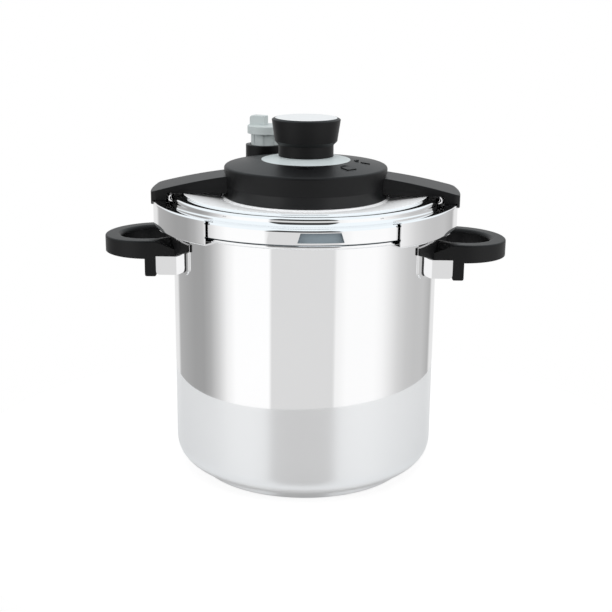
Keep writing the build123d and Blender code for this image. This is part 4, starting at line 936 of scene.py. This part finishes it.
@dataclass(frozen=True)
class Studio:
    """White room with two wide soft panels in front, and a round pale table. Sizes are in metres."""

    table_radius: float = 0.323
    table_centre: Point = (0.008, -0.014)
    table_gap: float = 0.0002
    table_sides: int = 192
    table_colour: Colour = (0.36, 0.36, 0.36)
    table_shine: float = 0.3
    table_gloss: float = 0.36
    table_light: float = 0.2
    fill_light: float = 0.75
    top_place: Corner = (0.0, -0.25, 1.25)
    top_target: Corner = (0.0, 0.0, 0.25)
    top_size: float = 1.1
    top_power: float = 5.6
    side_place: Corner = (1.2, -0.9, 0.8)
    side_target: Corner = (0.0, 0.0, 0.2)
    side_size: float = 0.9
    side_power: float = 6.0
    bands: tuple[Point, ...] = (
        (-180.0, 0.85), (-147.0, 0.82), (-141.0, 0.46), (-110.0, 0.37), (-97.0, 0.37), (-88.0, 0.455),
        (-78.5, 0.67), (-69.0, 0.945), (-60.0, 1.08), (-29.0, 1.08), (-27.0, 0.76), (26.0, 0.76),
        (28.0, 0.96), (38.0, 1.06), (64.0, 1.06), (72.0, 1.0), (80.0, 0.88), (90.0, 0.72), (101.0, 0.62),
        (113.0, 0.58), (127.0, 0.58), (144.0, 0.46), (150.0, 0.82), (180.0, 0.85),
    )
    horizon: float = 0.25
    ceiling_tint: Colour = (0.97, 1.04, 1.08)
    patch_level: float = 0.05
    patch_width: float = math.radians(27.0)
    patch_low: float = 0.0
    patch_high: float = 0.88
    patch_blur: float = 0.05
    table_glow: float = 0.82
    table_shade: float = 0.28

    def build(self) -> None:
        """Make the room, its lights and the table."""
        self.room()
        self.table()
        self.lamp("soft_box_top", self.top_place, self.top_target, self.top_size, self.top_power)
        across, near, up = self.side_place
        for side, sign in (("left", -1), ("right", 1)):
            self.lamp(f"soft_box_{side}", (sign * across, near, up), self.side_target, self.side_size,
                      self.side_power)

    def room(self) -> None:
        """Light the world: white to the eye, bright and dim panels to a mirror, a soft fill to the rest."""
        world = bpy.data.worlds.new("white_room")
        bpy.context.scene.world = world
        world.use_nodes = True
        tree = world.node_tree
        tree.nodes.clear()
        add = tree.nodes.new
        join = tree.links.new
        path = add("ShaderNodeLightPath")
        place = add("ShaderNodeTexCoord")
        split = add("ShaderNodeSeparateXYZ")
        join(place.outputs["Generated"], split.inputs["Vector"])
        forward = add("ShaderNodeMath")
        forward.operation = "MULTIPLY"
        forward.inputs[1].default_value = -1.0
        join(split.outputs["Y"], forward.inputs[0])
        bearing = add("ShaderNodeMath")
        bearing.operation = "ARCTAN2"
        join(split.outputs["X"], bearing.inputs[0])
        join(forward.outputs["Value"], bearing.inputs[1])
        share = add("ShaderNodeMapRange")
        share.inputs["From Min"].default_value = -math.pi
        share.inputs["From Max"].default_value = math.pi
        join(bearing.outputs["Value"], share.inputs["Value"])
        panels = add("ShaderNodeValToRGB")
        ramp = panels.color_ramp
        while len(ramp.elements) > 1:
            ramp.elements.remove(ramp.elements[-1])
        for index, (angle, level) in enumerate(self.bands):
            spot = (angle + 180.0) / 360.0
            stop = ramp.elements[0] if index == 0 else ramp.elements.new(spot)
            stop.position = spot
            stop.color = (level, level, level, 1.0)
        join(share.outputs["Result"], panels.inputs["Fac"])
        rise = add("ShaderNodeMapRange")
        rise.interpolation_type = "SMOOTHSTEP"
        rise.inputs["From Min"].default_value = self.horizon
        rise.inputs["From Max"].default_value = 2 * self.horizon
        join(split.outputs["Z"], rise.inputs["Value"])
        ceiling = add("ShaderNodeMix")
        ceiling.data_type = "RGBA"
        ceiling.inputs["B"].default_value = (*self.ceiling_tint, 1.0)
        join(rise.outputs["Result"], ceiling.inputs["Factor"])
        join(panels.outputs["Color"], ceiling.inputs["A"])
        shade = add("ShaderNodeMix")
        shade.data_type = "RGBA"
        shade.inputs["B"].default_value = (self.patch_level, self.patch_level, self.patch_level, 1.0)
        join(self.patch(tree, bearing.outputs["Value"], split.outputs["Z"]), shade.inputs["Factor"])
        join(ceiling.outputs["Result"], shade.inputs["A"])
        mirror = add("ShaderNodeBackground")
        join(shade.outputs["Result"], mirror.inputs["Color"])
        fill = add("ShaderNodeBackground")
        fill.inputs["Strength"].default_value = self.fill_light
        white = add("ShaderNodeBackground")
        white.inputs["Color"].default_value = (1.0, 1.0, 1.0, 1.0)
        glossy = add("ShaderNodeMath")
        glossy.operation = "MAXIMUM"
        join(path.outputs["Is Glossy Ray"], glossy.inputs[0])
        join(path.outputs["Is Transmission Ray"], glossy.inputs[1])
        seen = add("ShaderNodeMixShader")
        join(glossy.outputs["Value"], seen.inputs["Fac"])
        join(fill.outputs["Background"], seen.inputs[1])
        join(mirror.outputs["Background"], seen.inputs[2])
        eye = add("ShaderNodeMixShader")
        join(path.outputs["Is Camera Ray"], eye.inputs["Fac"])
        join(seen.outputs["Shader"], eye.inputs[1])
        join(white.outputs["Background"], eye.inputs[2])
        out = add("ShaderNodeOutputWorld")
        join(eye.outputs["Shader"], out.inputs["Surface"])

    def patch(self, tree: bpy.types.NodeTree, bearing: bpy.types.NodeSocket,
              height: bpy.types.NodeSocket) -> bpy.types.NodeSocket:
        """Mask of the dark gap between the two panels, in front of the pot.

        Args:
            tree: the world's nodes.
            bearing: angle from the front, in radians.
            height: sine of the angle above the horizon.

        Returns:
            A value of 1 in the gap and 0 outside it.
        """

        def step(source: bpy.types.NodeSocket, full: float, none: float) -> bpy.types.NodeSocket:
            """Soft step from 1 at full to 0 at none."""
            edge = tree.nodes.new("ShaderNodeMapRange")
            edge.interpolation_type = "SMOOTHSTEP"
            edge.inputs["From Min"].default_value = min(full, none)
            edge.inputs["From Max"].default_value = max(full, none)
            edge.inputs["To Min"].default_value = float(full < none)
            edge.inputs["To Max"].default_value = float(full > none)
            tree.links.new(source, edge.inputs["Value"])
            return edge.outputs["Result"]

        def worked(operation: str, *values: bpy.types.NodeSocket) -> bpy.types.NodeSocket:
            """Value that an operation gives."""
            node = tree.nodes.new("ShaderNodeMath")
            node.operation = operation
            for value, socket in zip(values, node.inputs):
                tree.links.new(value, socket)
            return node.outputs["Value"]

        above = step(height, self.patch_low + self.patch_blur, self.patch_low)
        below = step(height, self.patch_high - self.patch_blur, self.patch_high)
        front = step(worked("ABSOLUTE", bearing), self.patch_width, self.patch_width + self.patch_blur)
        return worked("MULTIPLY", front, worked("MULTIPLY", above, below))

    def table(self) -> None:
        """Make the round table that the pot stands on."""
        form = bmesh.new()
        bmesh.ops.create_circle(form, cap_ends=True, radius=self.table_radius, segments=self.table_sides)
        bmesh.ops.translate(form, verts=form.verts, vec=(*self.table_centre, -self.table_gap))
        mesh = bpy.data.meshes.new("table")
        form.to_mesh(mesh)
        form.free()
        mesh.materials.append(self.table_finish())
        disc = bpy.data.objects.new("table", mesh)
        bpy.context.scene.collection.objects.link(disc)

    def table_finish(self) -> bpy.types.Material:
        """Pale table: its own colour in a mirror, and near white to the eye with the pot's shadow kept.

        Returns:
            The material.
        """
        made = bpy.data.materials.new("pale_table")
        made.use_nodes = True
        tree = made.node_tree
        tree.nodes.clear()
        add = tree.nodes.new
        join = tree.links.new
        path = add("ShaderNodeLightPath")
        matt = add("ShaderNodeBsdfDiffuse")
        matt.inputs["Color"].default_value = (*self.table_colour, 1.0)
        shine = add("ShaderNodeBsdfGlossy")
        shine.inputs["Color"].default_value = (self.table_shine, self.table_shine, self.table_shine, 1.0)
        shine.inputs["Roughness"].default_value = self.table_gloss
        under = add("ShaderNodeEmission")
        under.inputs["Strength"].default_value = self.table_light
        polished = add("ShaderNodeAddShader")
        join(matt.outputs["BSDF"], polished.inputs[0])
        join(shine.outputs["BSDF"], polished.inputs[1])
        bright = add("ShaderNodeAddShader")
        join(polished.outputs["Shader"], bright.inputs[0])
        join(under.outputs["Emission"], bright.inputs[1])
        shadow = add("ShaderNodeBsdfDiffuse")
        shadow.inputs["Color"].default_value = (self.table_shade, self.table_shade, self.table_shade, 1.0)
        white = add("ShaderNodeEmission")
        white.inputs["Strength"].default_value = self.table_glow
        lit = add("ShaderNodeAddShader")
        join(white.outputs["Emission"], lit.inputs[0])
        join(shadow.outputs["BSDF"], lit.inputs[1])
        eye = add("ShaderNodeMixShader")
        join(path.outputs["Is Camera Ray"], eye.inputs["Fac"])
        join(bright.outputs["Shader"], eye.inputs[1])
        join(lit.outputs["Shader"], eye.inputs[2])
        out = add("ShaderNodeOutputMaterial")
        join(eye.outputs["Shader"], out.inputs["Surface"])
        return made

    def lamp(self, name: str, place: Corner, target: Corner, size: float, power: float) -> None:
        """Make one soft box.

        Args:
            name: the lamp's name.
            place: where it hangs.
            target: the point that it faces.
            size: length of its sides.
            power: its power in watts.
        """
        light = bpy.data.lights.new(name, "AREA")
        light.shape = "SQUARE"
        light.size = size
        light.energy = power
        thing = bpy.data.objects.new(name, light)
        thing.location = place
        thing.rotation_euler = (Vector(target) - Vector(place)).to_track_quat("-Z", "Y").to_euler()
        thing.visible_camera = False
        thing.visible_glossy = False
        bpy.context.scene.collection.objects.link(thing)


def paint_inner_works(frame: Frame) -> None:
    """Give the pieces inside, which keep the frame's shapes, their finishes."""
    frame.paint(CORE_METAL.material(), "base_core")
    frame.paint(DARK_RUBBER.material(), "indicator_seal")
    frame.paint(BRASS.material(), "valve_stem", "valve_nut", "safety_body", "safety_nut", "safety_cap")
    sides = [f"{side}_{name}" for side in ("right", "left")
             for name in ("follower_pin", "cover_screws", "jaw_rivets")]
    # The slides and guide plate get near-black steel as painted shade.
    frame.paint(SHADE_BLACK_STEEL.material(), "right_slide", "left_slide", "guide_plate")
    frame.paint(INNER_STEEL.material(), "handle_screws", "centre_post", "guide_nut", "housing_screws",
                "knob_washer", "knob_screw", "cam_plate", "valve_poppet", "safety_ball", *sides)


def main() -> None:
    """Load the frame, dress it and light it."""
    logging.basicConfig(level=logging.INFO, format="%(name)s %(message)s")
    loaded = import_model()
    frame = Frame(loaded["nodes"])
    paint_inner_works(frame)
    Pot().build(frame)
    Lid().build()
    Arms().build(frame)
    Housing().build(frame)
    Knob().build(frame)
    SteamValve().build(frame)
    Springs().build(frame)
    Viewpoint().build()
    Studio().build()
    bpy.context.scene.view_settings.view_transform = "Standard"


if __name__ == "__main__":
    main()
